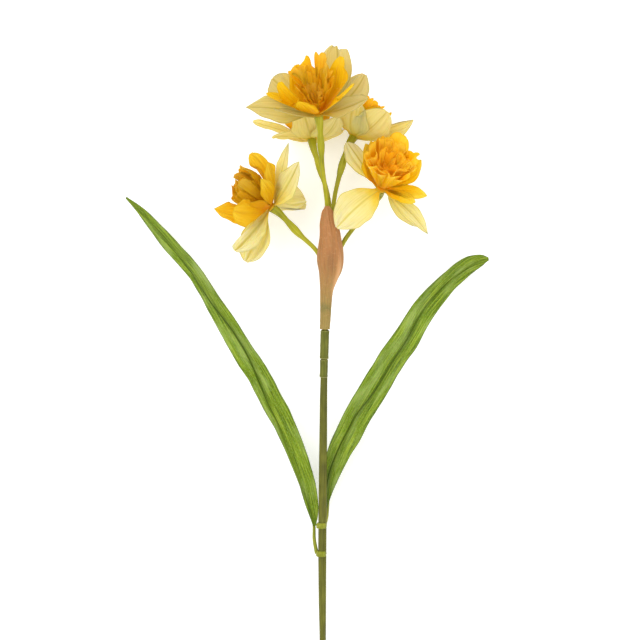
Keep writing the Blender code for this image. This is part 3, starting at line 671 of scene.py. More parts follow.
def petal_material(name, cloth, shade, glow):
    """Pressed petal cloth: a gradient from root to tip, lengthwise veins, a fine weave, a painted
    shade darkening its edge, the bloom's shade multiplied in, and a painted glow."""
    made, tree, shader, parts, spot = start_material(name, 0.6, cloth.scatter, level=0.1)
    along, across, tone = parts
    mottle = noise(tree, spot, 90, 2)
    shifted = scaled(tree, mottle, 0.5, maths(tree, "ADD", along, -0.25))
    colour = ramp(tree, shifted, cloth.stops)
    seed = times(tree, tone, 41)
    lengthwise = vector(tree, times(tree, across, 9), times(tree, along, 1.1), seed)
    streak = noise(tree, lengthwise, 1.6, 4, 0.6)
    broad = noise(tree, lengthwise, 0.45, 2, 0.5)
    lines = gate(tree, streak, 6, -2.9)
    midrib = gate(tree, maths(tree, "ABSOLUTE", across), -9, 1)
    strokes = ((lines, cloth.vein_share, cloth.vein), (midrib, cloth.middle, cloth.vein))
    colour = stained(tree, colour, *strokes)
    bands = gate(tree, broad, 3, -1.2)
    for where, strength in ((bands, 0.35), (tone, 0.25)):
        colour = mixed(tree, times(tree, where, strength), colour, cloth.tint, "MULTIPLY")
    # Painted shade: a dark line along the petal's edge, where its thickness and its shadow darken
    # it.
    colour = stained(tree, colour, (near_edge(tree, 0.9), 0.7, cloth.rim))
    # The bloom's shade: darker or lighter copies of the cloth, partly painted shade matching how
    # brightly the bloom is lit.
    colour = mixed(tree, 1, colour, shade, "MULTIPLY")
    weave = noise(tree, spot, 2600, 1)
    bump = scaled(tree, weave, 0.25, streak)
    rough = scaled(tree, mottle, 0.2, 0.48)
    connect(tree, shader, colour, bump, 0.25, rough)
    # Painted glow: the petal emits its own colour, which lifts its shade in place of light let
    # through the cloth.
    tree.links.new(colour, shader.inputs["Emission Color"])
    shader.inputs["Emission Strength"].default_value = cloth.glow * glow
    return made


def leaf_material():
    """Printed leaf cloth: fine lengthwise fibres, paler patches, a worn nap, and, where the tone
    is high, painted shade: a dark line along the crease, partly its own colour and partly the
    fold's shade, and a painted shadow band beside it."""
    start = start_material("leaf_cloth", 0.5, 0.12, (0.4, 1, 0.2), 0.08, 0.12)
    made, tree, shader, (along, across, tone), _ = start
    fine = vector(tree, times(tree, across, 1.25), times(tree, along, 0.03))
    fibres = noise(tree, fine, 1, 4, 0.65)
    short = vector(tree, times(tree, across, 1.5), times(tree, along, 0.5))
    threads = noise(tree, short, 1, 2, 0.7)
    wide = vector(tree, times(tree, across, 0.13), times(tree, along, 0.03), tone)
    patch = noise(tree, wide, 1, 3, 0.5)
    colour = ramp(tree, scaled(tree, fibres, 2.6, -0.82), LEAF_GREENS)
    crumb = gate(tree, threads, 4, -1.9)
    colour = stained(
        tree,
        colour,
        (gate(tree, patch, 5, -2.4), 0.5, (0.42, 0.52, 0.15)),
        (crumb, 0.35, (0.42, 0.6, 0.16)),
        (gate(tree, threads, -4, 1.6), 0.4, (0.04, 0.085, 0.004)),
        # Painted shade: the tone darkens the crease and a shadow band beside it.
        (tone, 0.9, (0.045, 0.078, 0.001)),
        (near_edge(tree, 0.8), 0.6, (0.05, 0.075, 0.01)),
    )
    bump = scaled(tree, threads, 0.5, fibres)
    rough = scaled(tree, crumb, 0.15, 0.42)
    connect(tree, shader, colour, bump, 0.22, rough)
    return made


def stalk_material(name, tints, streaks, roughness=0.42, subsurface=0.08):
    """Moulded plastic with faint lengthwise grooves, in dark, middle and light tints. Its burred
    lips have a tone of 1."""
    start = start_material(name, roughness, subsurface, (0.6, 1, 0.2))
    made, tree, shader, (along, across, tone), spot = start
    round_x = times(tree, maths(tree, "COSINE", across), 3.2)
    round_y = times(tree, maths(tree, "SINE", across), 3.2)
    grain = noise(tree, vector(tree, round_x, round_y, times(tree, along, 0.06)), 1, 4, 0.6)
    speck = noise(tree, spot, 900, 2)
    blotch = noise(tree, spot, 60, 2)
    value = scaled(tree, grain, 1.6, scaled(tree, blotch, 1.2, -0.9))
    colour = ramp(tree, value, list(zip((0, 0.5, 1), tints)))
    colour = stained(tree, colour, (speck, streaks, tints[-1]), (tone, 0.7, BURR_TINT))
    bump = scaled(tree, speck, 0.2, grain)
    rough = scaled(tree, grain, 0.25, roughness - 0.12)
    connect(tree, shader, colour, bump, 0.15, rough)
    return made


def spathe_material():
    """A dry papery bract: brown with lengthwise fibres, yellower at its neck. Its tone carries
    painted light: a painted highlight on the bulge where it is 1 and painted shade in the dent
    where it is 0."""
    start = start_material("spathe_paper", 0.6, 0.2, (1, 0.45, 0.15), 0.1)
    made, tree, shader, (along, across, tone), spot = start
    lengthwise = vector(tree, times(tree, across, 9), times(tree, along, 0.07))
    fibres = noise(tree, lengthwise, 1, 4, 0.6)
    blotch = noise(tree, spot, 110, 3)
    height = scaled(tree, blotch, 14, maths(tree, "ADD", along, -7))
    colour = ramp(tree, maths(tree, "DIVIDE", height, SPATHE_SECTIONS[-1][0]), SPATHE_BROWNS)
    scurf = noise(tree, spot, 520, 3, 0.7)
    mould = noise(tree, spot, 210, 2)
    colour = stained(
        tree,
        colour,
        (gate(tree, fibres, 5, -2.4), 0.6, (0.26, 0.125, 0.042)),
        (gate(tree, fibres, -6, 2.3), 0.4, (0.6, 0.34, 0.14)),
        (gate(tree, scurf, 6, -3.3), 0.45, (0.62, 0.36, 0.16)),
        (gate(tree, mould, 5, -2.7), 0.3, (0.3, 0.24, 0.09)),
    )
    # Painted highlight on the lit bulge, then painted shade in the dent.
    colour = mixed(tree, gate(tree, tone, 1.7, -0.85), colour, (0.86, 0.47, 0.22))
    colour = mixed(tree, gate(tree, tone, -0.8, 0.4), colour, (0.2, 0.095, 0.035))
    bump = scaled(tree, blotch, 0.3, fibres)
    connect(tree, shader, colour, bump, 0.25)
    return made


def steel_material():
    """Drawn steel wire."""
    made, tree, shader, _, spot = start_material("wire_steel", 0.35)
    shader.inputs["Metallic"].default_value = 1
    grain = noise(tree, spot, 700, 3)
    colour = ramp(tree, grain, [(0.3, (0.42, 0.43, 0.44)), (0.7, (0.62, 0.63, 0.65))])
    connect(tree, shader, colour, grain, 0.03)
    return made


LEAF_GREENS = [
    (0, (0.03, 0.058, 0.001)),
    (0.4, (0.135, 0.205, 0.005)),
    (0.7, (0.26, 0.345, 0.018)),
    (1, (0.45, 0.53, 0.065)),
]
SPATHE_BROWNS = [
    (0, (0.36, 0.26, 0.07)),
    (0.13, (0.34, 0.24, 0.065)),
    (0.17, (0.22, 0.19, 0.05)),
    (0.22, (0.38, 0.25, 0.07)),
    (0.42, (0.4, 0.21, 0.065)),
    (0.62, (0.42, 0.19, 0.063)),
    (1, (0.44, 0.2, 0.07)),
]


class Cloth(NamedTuple):
    """A petal cloth: colours from its root to its tip, its veins and their strength, the tint of
    its darker patches, its rim, a painted shade along its edge, how much light it scatters, its
    midrib and its painted glow, an emission that lifts its shade."""

    stops: list
    vein: tuple
    vein_share: float
    tint: tuple
    rim: tuple
    scatter: float
    middle: float
    glow: float


PALE = Cloth(
    stops=[
        (0, (0.69, 0.4, 0.01)),
        (0.14, (0.72, 0.53, 0.07)),
        (0.38, (0.75, 0.62, 0.22)),
        (1, (0.76, 0.66, 0.36)),
    ],
    vein=(0.5, 0.42, 0.08),
    vein_share=0.35,
    tint=(0.84, 0.84, 0.68),
    rim=(0.36, 0.32, 0.08),
    scatter=0.8,
    middle=0.85,
    glow=0.11,
)
GOLD = Cloth(
    stops=[
        (0, (0.7, 0.22, 0.001)),
        (0.25, (0.74, 0.34, 0.001)),
        (0.6, (0.77, 0.43, 0.004)),
        (1, (0.82, 0.55, 0.03)),
    ],
    vein=(0.56, 0.25, 0.001),
    vein_share=0.35,
    tint=(0.88, 0.78, 0.45),
    rim=(0.46, 0.27, 0.003),
    scatter=0.8,
    middle=0.15,
    glow=0.12,
)
CORONA = Cloth(
    stops=[
        (0, (0.8, 0.24, 0.001)),
        (0.35, (0.86, 0.36, 0.002)),
        (0.7, (0.9, 0.44, 0.006)),
        (1, (0.93, 0.53, 0.045)),
    ],
    vein=(0.7, 0.24, 0.001),
    vein_share=0.25,
    tint=(0.9, 0.78, 0.45),
    rim=(0.62, 0.28, 0.004),
    scatter=1,
    middle=0,
    glow=0.14,
)
HEART = CORONA._replace(
    stops=[(0, (0.76, 0.19, 0.001)), (0.4, (0.85, 0.34, 0.002)), (1, (0.9, 0.45, 0.02))],
    vein=(0.72, 0.23, 0.002),
    tint=(0.92, 0.84, 0.5),
    rim=(0.66, 0.27, 0.004),
)
LEAF = leaf_material()
SPATHE = spathe_material()
BURR_TINT = (0.46, 0.44, 0.16)
STEM_OLIVES = [(0.06, 0.06, 0.005), (0.115, 0.115, 0.009), (0.2, 0.2, 0.02)]
SLEEVE_OLIVES = [(0.055, 0.062, 0.005), (0.105, 0.115, 0.008), (0.22, 0.22, 0.03)]
STALK_GREENS = [(0.17, 0.175, 0.005), (0.35, 0.335, 0.01), (0.54, 0.49, 0.03)]
COLLAR_GREENS = [(0.13, 0.15, 0.006), (0.24, 0.26, 0.012), (0.42, 0.42, 0.05)]
STEM = stalk_material("stem_plastic", STEM_OLIVES, 0.18)
SLEEVE = stalk_material("sleeve_plastic", SLEEVE_OLIVES, 0.2)
STALK = stalk_material("stalk_plastic", STALK_GREENS, 0.15, 0.38, 0.15)
COLLAR = stalk_material("collar_plastic", COLLAR_GREENS, 0.15, 0.4, 0.12)
STEEL = steel_material()

# ---- stem, sleeves and collars


def build_stem():
    """The stem's tube, with the wire's bore in it. Gives the middle of its head."""
    head = stem_point(STEM_PATH[-1][1] + STEM_HEAD_LENGTH)
    path = np.array([stem_point(y) for _, y in STEM_PATH] + [head])
    fine = resampled(path, STEM_ROWS)
    along = distances(fine)
    radius = np.interp(along, distances(path), [*STEM_RADII, STEM_HEAD_RADIUS])[:, None] - 0.05
    angles = full_turn(STEM_SIDES)
    ridges = 0.05 * np.sin(7 * angles[None] + 0.01 * along[:, None])
    ridges += 0.03 * ripple(along / 9, 5)[:, None]
    shape = Shape()
    shape.rod(fine, radius + ridges, STEM_SIDES, bore=WIRE_BORE)
    shape.piece("stem_tube", STEM, ["main_stem"], "stem_green")
    return head


def build_sleeves():
    """Two moulded joint sleeves, with pale burred lips where their ends meet the stem."""
    angles = full_turn(STEM_SIDES)
    for number, (name, (low, high, radius)) in enumerate(JOINT_SLEEVES.items()):
        y = np.linspace(low, high, 70)
        share = (y - low) / (high - low)
        end = np.minimum(share, 1 - share) * (high - low)
        profile = radius - 0.6 * np.exp(-end / 0.35) + 0.16 * swell(end, 1.1, 0.7) - 0.12
        grooves = -0.22 * np.maximum(0, np.sin(5 * angles + number)) ** 4
        rough = 0.07 * ripple(y / 1.3, 3 + number)[:, None] * np.sin(3 * angles + 1)
        radii = profile[:, None] + grooves * (0.4 + 0.6 * share[:, None]) + rough
        shape = Shape()
        shape.rod(np.array([stem_point(v) for v in y]), radii, STEM_SIDES, SLEEVE_BORE)
        for place, reach in ((low + 0.25, 0.1), (high - 0.7, -0.05)):
            lip = np.linspace(-0.3, 0.3, 5)
            burr = 0.18 * np.maximum(0, ripple(4 * angles, 11 + number)) ** 2
            ring = radius + reach - 6 * lip[:, None] ** 2 + burr
            centres = np.array([stem_point(place + v) for v in lip])
            shape.rod(centres, ring, STEM_SIDES, SLEEVE_BORE, tone=1)
        shape.piece(f"{name}_moulded", SLEEVE, [name], "stem_green")


def leaf_frame(path, roll):
    """The directions across and out of a leaf's face along its path."""
    tangents = unit(np.gradient(path, axis=0))
    across = unit(np.cross(tangents, (0, 0, 1)))
    normal = np.cross(across, tangents)
    c, s = np.cos(roll)[:, None], np.sin(roll)[:, None]
    return c * across + s * normal, c * normal - s * across


def leaf_surface(sections, seed, crease_shade_at):
    """The leaf's middle surface and its places. Its tone is painted shade: a dark line along the
    crease, partly the crease's own colour and partly its shade, and a painted shadow band to one
    side of it. crease_shade_at is where this shade is strongest and how far along it stays so, as
    shares of the leaf's length."""
    smooth = resampled(smooth_path(sections, 6), LEAF_ROWS)
    path, half, roll, crease = smooth[:, :3], smooth[:, 3], np.radians(smooth[:, 4]), smooth[:, 5]
    across, normal = leaf_frame(path, roll)
    v = np.linspace(-1, 1, LEAF_COLUMNS)[None]
    along = distances(path)[:, None]
    half, crease = half[:, None], crease[:, None]
    from_crease = v - crease
    away = from_crease * half
    fold = half * LEAF_FOLD * np.sqrt(from_crease**2 + 0.004)
    groove = -0.7 * swell(away, 0, 0.7) * np.minimum(1, half / 4)
    ribs = 0.07 * np.cos(away * 4.2) * np.minimum(1, half / 5)
    right_edge = ripple(along / 9, seed) * np.maximum(0, v) ** 3
    left_edge = ripple(along / 8, seed + 1) * np.maximum(0, -v) ** 3
    rise = fold + groove + ribs + 0.45 * (right_edge + left_edge) * half / 8
    outline = half * (1 + 0.02 * ripple(along / 7, seed + 2) * np.abs(v) ** 4)
    grid = path[:, None] + (outline * v)[..., None] * across[:, None]
    grid += rise[..., None] * normal[:, None]
    middle, reach = crease_shade_at
    strong = 0.3 + 0.7 * swell(along / along[-1], middle, reach)
    # Painted shade along the crease and a painted shadow band beside it, carried as the tone.
    dark = strong * (swell(away, 0, 0.75) + 0.32 * swell(away, 1.4, 2)) + 0.1
    across_print = v * half + 40 * seed
    return grid, np.stack(np.broadcast_arrays(along, across_print, np.minimum(dark, 1)), -1)


def rib_line(sections):
    """The line of the rib behind the first part of the leaf."""
    smooth = resampled(smooth_path([s[:5] for s in sections], 4), RIB_ROWS)
    path = smooth[:, :3]
    _, normal = leaf_frame(path, np.radians(smooth[:, 4]))
    behind = path - normal * (0.4 + RIB_RADIUS + GAP + 0.2)
    return behind[: int(RIB_END * RIB_ROWS)]


def build_blade(side, sections, seed, crease_shade_at):
    """A leaf's cloth blade."""
    grid, place = leaf_surface(sections, seed, crease_shade_at)
    shape = Shape()
    shape.sheet(grid, place, LEAF_THICKNESS)
    shape.piece(f"leaf_{side}_cloth", LEAF, [f"leaf_blade_{side}"], "leaf_green", CLOTH_SHARP)


def build_collar(side, sections):
    """A leaf's collar round the stem, with the stalk and back rib that carry the blade."""
    rib = rib_line(sections)
    y, around = COLLARS[side]
    out = beside_stem(around)
    root = stem_point(y) + out * (COLLAR_RADIUS - 0.6)
    bend = 0.5 * (root + rib[0]) + out * 0.9
    line = resampled(smooth_path(np.vstack([root, bend, rib]), 6), 120)
    along = distances(line)
    radii = np.interp(along, (0, 12, 40, along[-1]), (1.5, 1.3, RIB_RADIUS, 0.45))
    shape = Shape()
    shape.rod(line, radii, RIB_SIDES)
    half = COLLAR_HEIGHT / 2
    heights = np.linspace(-half, half, 18)
    bulge = COLLAR_RADIUS - 0.9 * (np.abs(heights) / half) ** 3 + 0.12 * np.sin(heights * 3)
    ring = np.array([stem_point(y + d) for d in heights])
    shape.rod(ring, bulge, STEM_SIDES, bore=max(STEM_RADII) + 0.1)
    shape.piece(f"leaf_{side}_collar", COLLAR, [f"leaf_collar_{side}"], "stalk_green")


def build_spathe():
    """The papery bract: ribbed, creased and dented, open at its back."""
    up, side, radius, wrap = smooth_path(SPATHE_SECTIONS, 10).T[..., None]
    turn = np.radians(wrap * np.linspace(-1, 1, SPATHE_COLUMNS)[None])
    ribs = 0.16 * np.sin(11 * turn + 0.02 * up) + 0.1 * np.sin(23 * turn + 2 + 0.05 * up)
    ribs += 0.22 * ripple(up / 7 + 1.6 * turn, 21) * np.minimum(1, up / 30)
    twist = 0.012 * (up - 45)
    fold = 1.5 * swell(turn + twist, 0.75, 0.16) * swell(up, 42, 17)
    dent = -1.2 * swell(turn, -0.1, 0.3) * swell(up, 38, 12)
    crumple = 0.18 * ripple(up / 2.2 + 3 * turn, 8) * np.exp(-up / 18)
    local = radius + ribs + fold + dent + crumple
    lean = SPATHE_FRONT * up / SPATHE_SECTIONS[-1][0]
    x = side + np.sin(turn) * local
    out = np.cos(turn) * local * SPATHE_DEPTH + lean
    grid = np.stack([x, up - STEM_SLOPE * out, stem_height(up) + out], -1)
    # Painted light, carried as the tone: a highlight on the lit bulge of the fold and a patch of
    # painted shade higher up the middle.
    lit = swell(turn + twist, 0.85, 0.3) * swell(up, 40, 13)
    hollow_shade = swell(turn, 0.1, 0.35) * swell(up, 51, 8)
    place = np.stack(np.broadcast_arrays(up, turn, 0.5 + 0.5 * (lit - hollow_shade)), -1)
    shape = Shape()
    shape.sheet(grid, place, SPATHE_THICKNESS)
    shape.piece("spathe_paper", SPATHE, ["spathe"], "spathe_brown", CLOTH_SHARP)


# ---- blooms


def bloom_frame(bloom):
    """The bloom's axis, the direction out of it that faces up most, and the third one."""
    axis = unit(bloom.axis)
    front = unit((0, 0, 1) - axis * axis[2])
    return axis, front, np.cross(axis, front)


def petal_profile(s, petal):
    """The petal's half width, as a share of its widest, from root to tip."""
    body = np.sin(math.pi * np.minimum(s, 0.99) ** petal.peak) ** (1 - 0.5 * petal.blunt)
    return np.maximum(body, 0.22 * np.sqrt(1 - s))


def petal_path(bloom, petal, start_height):
    """The petal's middle line from hub to tip: shares of its length, points, and the directions
    across and out of its face."""
    axis = unit(bloom.axis)
    tip = np.asarray(petal.tip, float)
    radial = unit(tip - axis * (tip @ axis))
    across_hub = np.cross(axis, radial)
    start = axis * start_height + radial * PETAL_ROOT
    outward = np.cross(across_hub, unit(tip - start))
    middle = 0.5 * (start + tip) + 2 * petal.bow * outward
    s = (1 - (1 - np.linspace(0, 1, PETAL_ROWS)) ** 1.2)[:, None]
    points = (1 - s) ** 2 * start + 2 * s * (1 - s) * middle + s * s * tip
    along = unit((1 - s) * (middle - start) + s * (tip - middle))
    normal = unit(np.cross(along, across_hub))
    up = np.copysign(1, normal[:, 2:]) * (0, 0, 1)
    up = unit(up - along * np.sum(up * along, axis=1, keepdims=True))
    share = petal.turned * np.minimum(1, 2.5 * s)
    normal = unit((1 - share) * normal + share * up)
    return s, points, np.cross(normal, along), normal


def petal_surface(bloom, petal, start_height, tier, seed):
    """A petal's middle surface, with its ragged edges, pleats and waves, and its places."""
    s, path, across, normal = petal_path(bloom, petal, start_height)
    v = np.linspace(-1, 1, PETAL_COLUMNS)[None]
    rng = np.random.default_rng(seed)
    phase = rng.uniform(0, 2 * math.pi, 6)
    half = petal.width / 2 * petal_profile(s, petal)
    ragged = 0.045 * np.sin(9 * s + phase[0]) + 0.03 * np.sin(21 * s + phase[1])
    other = 0.045 * np.sin(8 * s + phase[2]) + 0.03 * np.sin(19 * s + phase[3])
    outline = half * (1 + np.where(v > 0, ragged, other) * np.abs(v) ** 2)
    ruffle = 0.11 * half * s * np.sin(6.5 * s + 0.7 * petal.tip[0]) * v * np.abs(v)
    folds = np.sin(6 * v + phase[4]) + 0.6 * np.sin(13 * v + phase[5] + 2 * s)
    edge = 0.6 * np.sin(16 * s + phase[1] + 1.2 * np.sign(v)) + 0.4 * np.sin(29 * s + phase[3])
    rise = (
        PETAL_HOLLOW * half * (v * v - 0.3)
        + ruffle
        + petal.pleat * np.minimum(1, half / 8) * folds * (0.4 + s)
        + 0.08 * np.cos(26 * v + phase[5]) * np.minimum(1, half / 6)
        - 0.45 * swell(v * half, 0, 1) * (1 - 0.6 * s)
        + edge * np.abs(v) ** 4 * np.minimum(1, half / 8) * s
    )
    grid = bloom.base + path[:, None] + (outline * v)[..., None] * across[:, None]
    grid += rise[..., None] * normal[:, None]
    grid = in_its_layer(bloom, grid, start_height, tier)
    tone = rng.uniform(0, 1)
    return grid, np.stack(np.broadcast_arrays(s, v * np.sqrt(half / 10), tone), -1)


def in_its_layer(bloom, grid, start_height, tier):
    """Keeps outer petals outside the bloom's fork cone and off the pedicel, and inner petals
    inside the cone and off the corona."""
    axis, front, side = bloom_frame(bloom)
    base = np.array(bloom.base)
    offset = grid - base
    height = offset @ axis
    flat = offset - height[..., None] * axis
    radius = np.maximum(np.linalg.norm(flat, axis=-1), 0.1)
    facing, beside = (flat @ front) / radius, (flat @ side) / radius
    parts = [np.maximum(0, part) ** 2 for part in (-facing, facing, beside, -beside)]
    fork = np.radians(sum(lift * part for lift, part in zip(bloom.fork, parts)))
    parting = 0.5 * (OUTER_HUB[1] + INNER_HUB[0])
    cone = parting + np.maximum(0, radius - OUTER_HUB[2]) * np.tan(fork)
    room = (0.5 * (CAD_PETAL_THICKNESS + GAP) + LAYER_ROOM * radius) / np.cos(fork)
    if start_height < parting:
        height = np.minimum(height, cone - room - tier * np.minimum(1, 0.1 * radius))
        height = np.maximum(height, np.interp(radius, *np.array(UNDERSIDE).T))
    else:
        wall = corona_wall(bloom, (height - CORONA_BASE) / (1 + bloom.slant * facing))
        clear = np.where(height > CORONA_BASE - 0.6, wall + tier, 0)
        radius_free = np.maximum(radius, clear)
        flat *= (radius_free / radius)[..., None]
        cone = parting + np.maximum(0, radius_free - OUTER_HUB[2]) * np.tan(fork)
        height = np.maximum(height, cone + room)
    return base + flat + height[..., None] * axis


def corona_wall(bloom, height):
    """How far out the corona reaches at a height over its floor, with its ruffles."""
    heights, radii = np.array(bloom.corona).T
    flare = max(0, (radii[-1] - radii[-2]) / (heights[-1] - heights[-2]))
    radius = np.interp(height, heights, radii) + flare * np.maximum(0, height - heights[-1])
    share = np.clip(height / heights[-1], 0, 1.2)
    room = np.interp(height, heights[:2], CORONA_ROOM[:2])
    return radius + room + CORONA_ROOM[2] * share**1.5


def petal_layer(bloom, petals, hub, seed):
    """A ring of petals on their hub."""
    bottom, top, radius = hub
    base, axis = np.array(bloom.base), unit(bloom.axis)
    shape = Shape()
    middle = (bottom + top) / 2
    heights = np.linspace(bottom, top, 6)
    bulge = radius - 0.6 * (2 * (heights - middle) / (top - bottom)) ** 2
    shape.rod(base + np.outer(heights, axis), bulge, HUB_SIDES, tone=0.2)
    shape.places[-1][:, 0] = 0
    for i, petal in enumerate(petals):
        grid, place = petal_surface(bloom, petal, middle, TIER_STEP * (i % 2), seed + i)
        shape.sheet(grid, place, PETAL_THICKNESS)
    return shape


def frill_lobe(bloom, frill, middle, crest, odd, rng):
    """A ruffled lobe, cut into round-ended fingers along its rim, and its places."""
    axis, front, side = bloom_frame(bloom)
    profile = smooth_path(bloom.corona, 8)
    top = bloom.corona[-1][0]
    u = np.linspace(-1, 1, LOBE_COLUMNS)[None]
    tall = crest * rng.uniform(0.92, 1.06)
    lean = bloom.lean * rng.uniform(0.3, 1.5)
    phase = rng.uniform(0, 2 * math.pi, 4)
    layer = LOBE_STAGGER * (1 if odd else -1)
    deep = bloom.fringe * (0.35 if odd else 1) / (top * frill.height)
    finger = (u + 1) / 2 * bloom.fingers
    lengths = rng.uniform(0.75, 1.15, bloom.fingers + 1)
    own = lengths[np.minimum(finger.astype(int), bloom.fingers)]
    fingers = deep * (own * np.abs(np.sin(math.pi * finger)) ** 0.45 - 1)
    crown = tall * (1 - 0.22 * u**2 + 0.05 * np.sin(3 * u + phase[2])) + fingers
    share = LOBE_ROOT + (crown - LOBE_ROOT) * np.linspace(0, 1, LOBE_ROWS)[:, None]
    bend = np.minimum(share, 1.1) ** 1.4
    swing = 3.6 * u + phase[0]
    ruffle = np.sin(swing) + 0.55 * np.sin(2.1 * swing + phase[1] + 1.5 * share)
    radius = frill.radius * np.interp(share * top, profile[:, 0], profile[:, 1])
    flare = 8 * lean * np.maximum(0, share - 0.55) ** 2
    radius = radius + frill.depth * bend * ruffle + layer * share + flare
    radius = np.maximum(radius - 1.2 * np.abs(u) ** 3 * share, 0.6)
    span = math.pi / frill.lobes * LOBE_OVERLAP * (0.85 + 0.3 * share)
    tuck = -0.55 * frill.depth * bend * np.sin(2 * swing)
    theta = middle + span * u + tuck / np.maximum(radius, 4)
    height = share * top * frill.height * (1 + bloom.slant * np.cos(theta))
    height -= 2 * lean * np.maximum(0, share - 0.7)
    height += 0.5 * bend * np.sin(5 * u + phase[3])
    outward = np.cos(theta)[..., None] * front + np.sin(theta)[..., None] * side
    grid = bloom.base + axis * frill.start
    grid = grid + radius[..., None] * outward + height[..., None] * axis
    tone = rng.uniform(0, 1)
    return grid, np.stack(np.broadcast_arrays(share, 1.6 * u, tone), -1)


def frill_rings(bloom, frills, seed):
    """Rings of overlapping ruffled lobes."""
    rng = np.random.default_rng(seed)
    shape = Shape()
    for ring, frill in enumerate(frills):
        step = 2 * math.pi / frill.lobes
        for k in range(frill.lobes):
            middle = (k + 0.5 * ring + rng.uniform(-0.15, 0.15)) * step + math.radians(bloom.turn)
            crest = bloom.crests[(ring * frills[0].lobes + k) % len(bloom.crests)]
            grid, place = frill_lobe(bloom, frill, middle, crest, k % 2, rng)
            shape.sheet(grid, place, FRILL_THICKNESS)
    return shape


def pedicel_line(bloom, stem_head):
    """From the pedicel's seat on the stem's head, through the spathe, to the bloom's base."""
    seat = beside_stem(bloom.seat)
    start = stem_head + seat * SEAT_RADIUS + (0, GAP, 0)
    gathered = np.array(PEDICEL_BUNDLE) + seat * BUNDLE_RADIUS
    axis = unit(bloom.axis)
    base = np.array(bloom.base)
    rise = (0, 5, 5 * STEM_SLOPE)
    points = [start, start + rise, gathered, *bloom.route, base - 9 * axis, base - axis * GAP]
    return resampled(smooth_path(points, 12), PEDICEL_ROWS)


def build_pedicel(name, bloom, stem_head, seed):
    """A pedicel with the swelling of the ovary under its bloom."""
    line = pedicel_line(bloom, stem_head)
    along = distances(line)
    down, wide = np.array(PEDICEL_PROFILE).T
    radii = np.interp(along[-1] - along, down, wide)
    rooted = np.interp(along, (0, PEDICEL_ROOT), (PEDICEL_END_RADIUS, PEDICEL_PROFILE[-1][1]))
    radii = np.where(along > PEDICEL_ROOT, radii, np.minimum(radii, rooted))
    angles = full_turn(PEDICEL_SIDES)
    ribs = 0.035 * radii[:, None] * np.cos(3 * angles + seed)[None]
    radii = radii[:, None] * 0.97 + ribs + 0.04 * ripple(along / 5, seed)[:, None]
    shape = Shape()
    shape.rod(line, radii, PEDICEL_SIDES)
    shape.piece(f"stalk_{name}", STALK, [f"pedicel_{name}"], "stalk_green")


def build_bloom(name, bloom, stem_head, seed):
    """A pedicel with its bloom: two layers of petals, the corona's frill and its heart."""
    outer, inner, frill = bloom.shade
    pale = petal_material(f"pale_petal_{name}", PALE, outer, bloom.glow)
    gold = petal_material(f"golden_petal_{name}", GOLD, inner, bloom.glow)
    corona = petal_material(f"corona_cloth_{name}", CORONA, frill, 1)
    heart = petal_material(f"heart_cloth_{name}", HEART, frill, 1)
    build_pedicel(name, bloom, stem_head, seed)
    for layer, petals, hub, finish, slot, more in (
        ("outer", bloom.outer, OUTER_HUB, pale, "pale_petal", 0),
        ("inner", bloom.inner, INNER_HUB, gold, "golden_petal", 20),
    ):
        shape = petal_layer(bloom, petals, hub, seed + more)
        solid = f"{layer}_petals_{name}"
        shape.piece(f"{name}_{layer}_cloth", finish, [solid], slot, CLOTH_SHARP)
    hearts = [ring._replace(height=ring.height * bloom.heart) for ring in INNER_FRILLS]
    for ending, rings, finish, slot, more in (
        ("frill", OUTER_FRILLS, corona, "corona", 40),
        ("heart", hearts, heart, "corona_heart", 50),
    ):
        shape = frill_rings(bloom, rings, seed + more)
        shape.piece(f"{name}_{ending}", finish, [f"{slot}_{name}"], slot, CLOTH_SHARP)


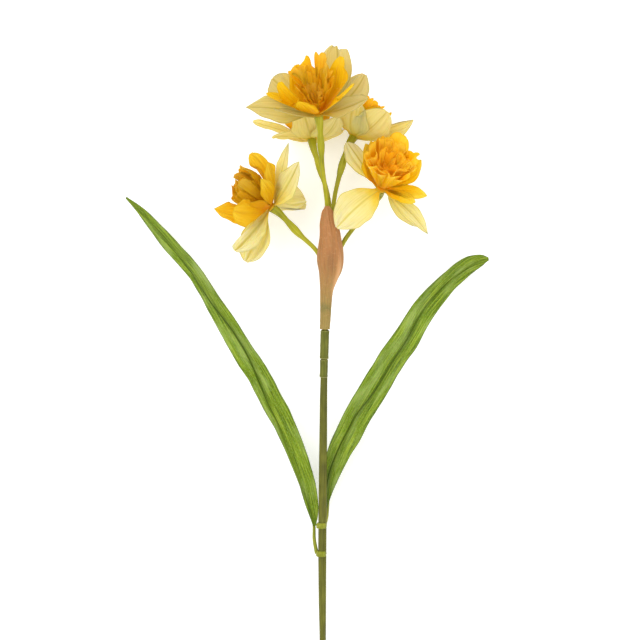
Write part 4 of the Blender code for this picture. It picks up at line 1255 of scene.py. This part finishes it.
STEM_HEAD = build_stem()
build_sleeves()
build_spathe()
build_blade("left", LEFT_LEAF, 3, (0.52, 0.22))
build_collar("left", LEFT_LEAF)
build_blade("right", RIGHT_LEAF, 5, (0.36, 0.42))
build_collar("right", RIGHT_LEAF)
for number, (bloom_name, bloom_data) in enumerate(BLOOMS.items()):
    build_bloom(bloom_name, bloom_data, STEM_HEAD, 100 * (number + 1))
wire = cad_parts["stem_wire"]
wire.data.materials.clear()
wire.data.materials.append(STEEL)

# ---- floor, light and camera

FLOOR_SIZE = 4
FLOOR_GLOW = 0.3  # the floor is lit from below a little, as a light table is
FLOOR_WHITES = [(0, (0.93, 0.93, 0.93)), (1, (0.95, 0.95, 0.95))]
WORLD_GLOW = 0.84
LAMPS_FACE = np.array([0, 0.1, 0])


def build_floor():
    bpy.ops.mesh.primitive_plane_add(size=FLOOR_SIZE)
    floor = bpy.context.object
    floor.name = "floor"
    made, tree, shader, _, spot = start_material("floor_paper", 0.9, level=0.1)
    grain = noise(tree, spot, 400, 2)
    connect(tree, shader, ramp(tree, grain, FLOOR_WHITES), grain, 0.02)
    shader.inputs["Emission Color"].default_value = (1, 1, 1, 1)
    shader.inputs["Emission Strength"].default_value = FLOOR_GLOW
    floor.data.materials.append(made)


def area_light(name, place, size, power):
    lamp = bpy.data.lights.new(name, "AREA")
    lamp.size, lamp.energy = size, power
    made = placed(name, lamp)
    made.location = place
    direction = LAMPS_FACE - place
    tilt = math.acos(-direction[2] / np.linalg.norm(direction))
    made.rotation_euler = (tilt, 0, math.atan2(-direction[0], direction[1]))


build_floor()
area_light("key", (-0.9, 0.8, 1.7), 1.7, 21)
area_light("fill", (1.1, -0.5, 1.5), 1.6, 8)
world = bpy.data.worlds.new("studio")
bpy.context.scene.world = world
world.use_nodes = True
background = world.node_tree.nodes["Background"]
background.inputs["Color"].default_value = (1, 1, 1, 1)
background.inputs["Strength"].default_value = WORLD_GLOW
bpy.context.scene.view_settings.view_transform = "Standard"

CAMERA_HEIGHT = 2000  # above the plane that is in the photograph's scale
CAMERA_PLANE = 30
CAMERA_OVER = (-3.375, 6.75)
camera_data = bpy.data.cameras.new("camera")
camera_data.lens = 150
camera = placed("camera", camera_data)
camera.location = (DESIGN_SHIFT + (*CAMERA_OVER, CAMERA_HEIGHT + CAMERA_PLANE)) * MM
bpy.context.scene.camera = camera
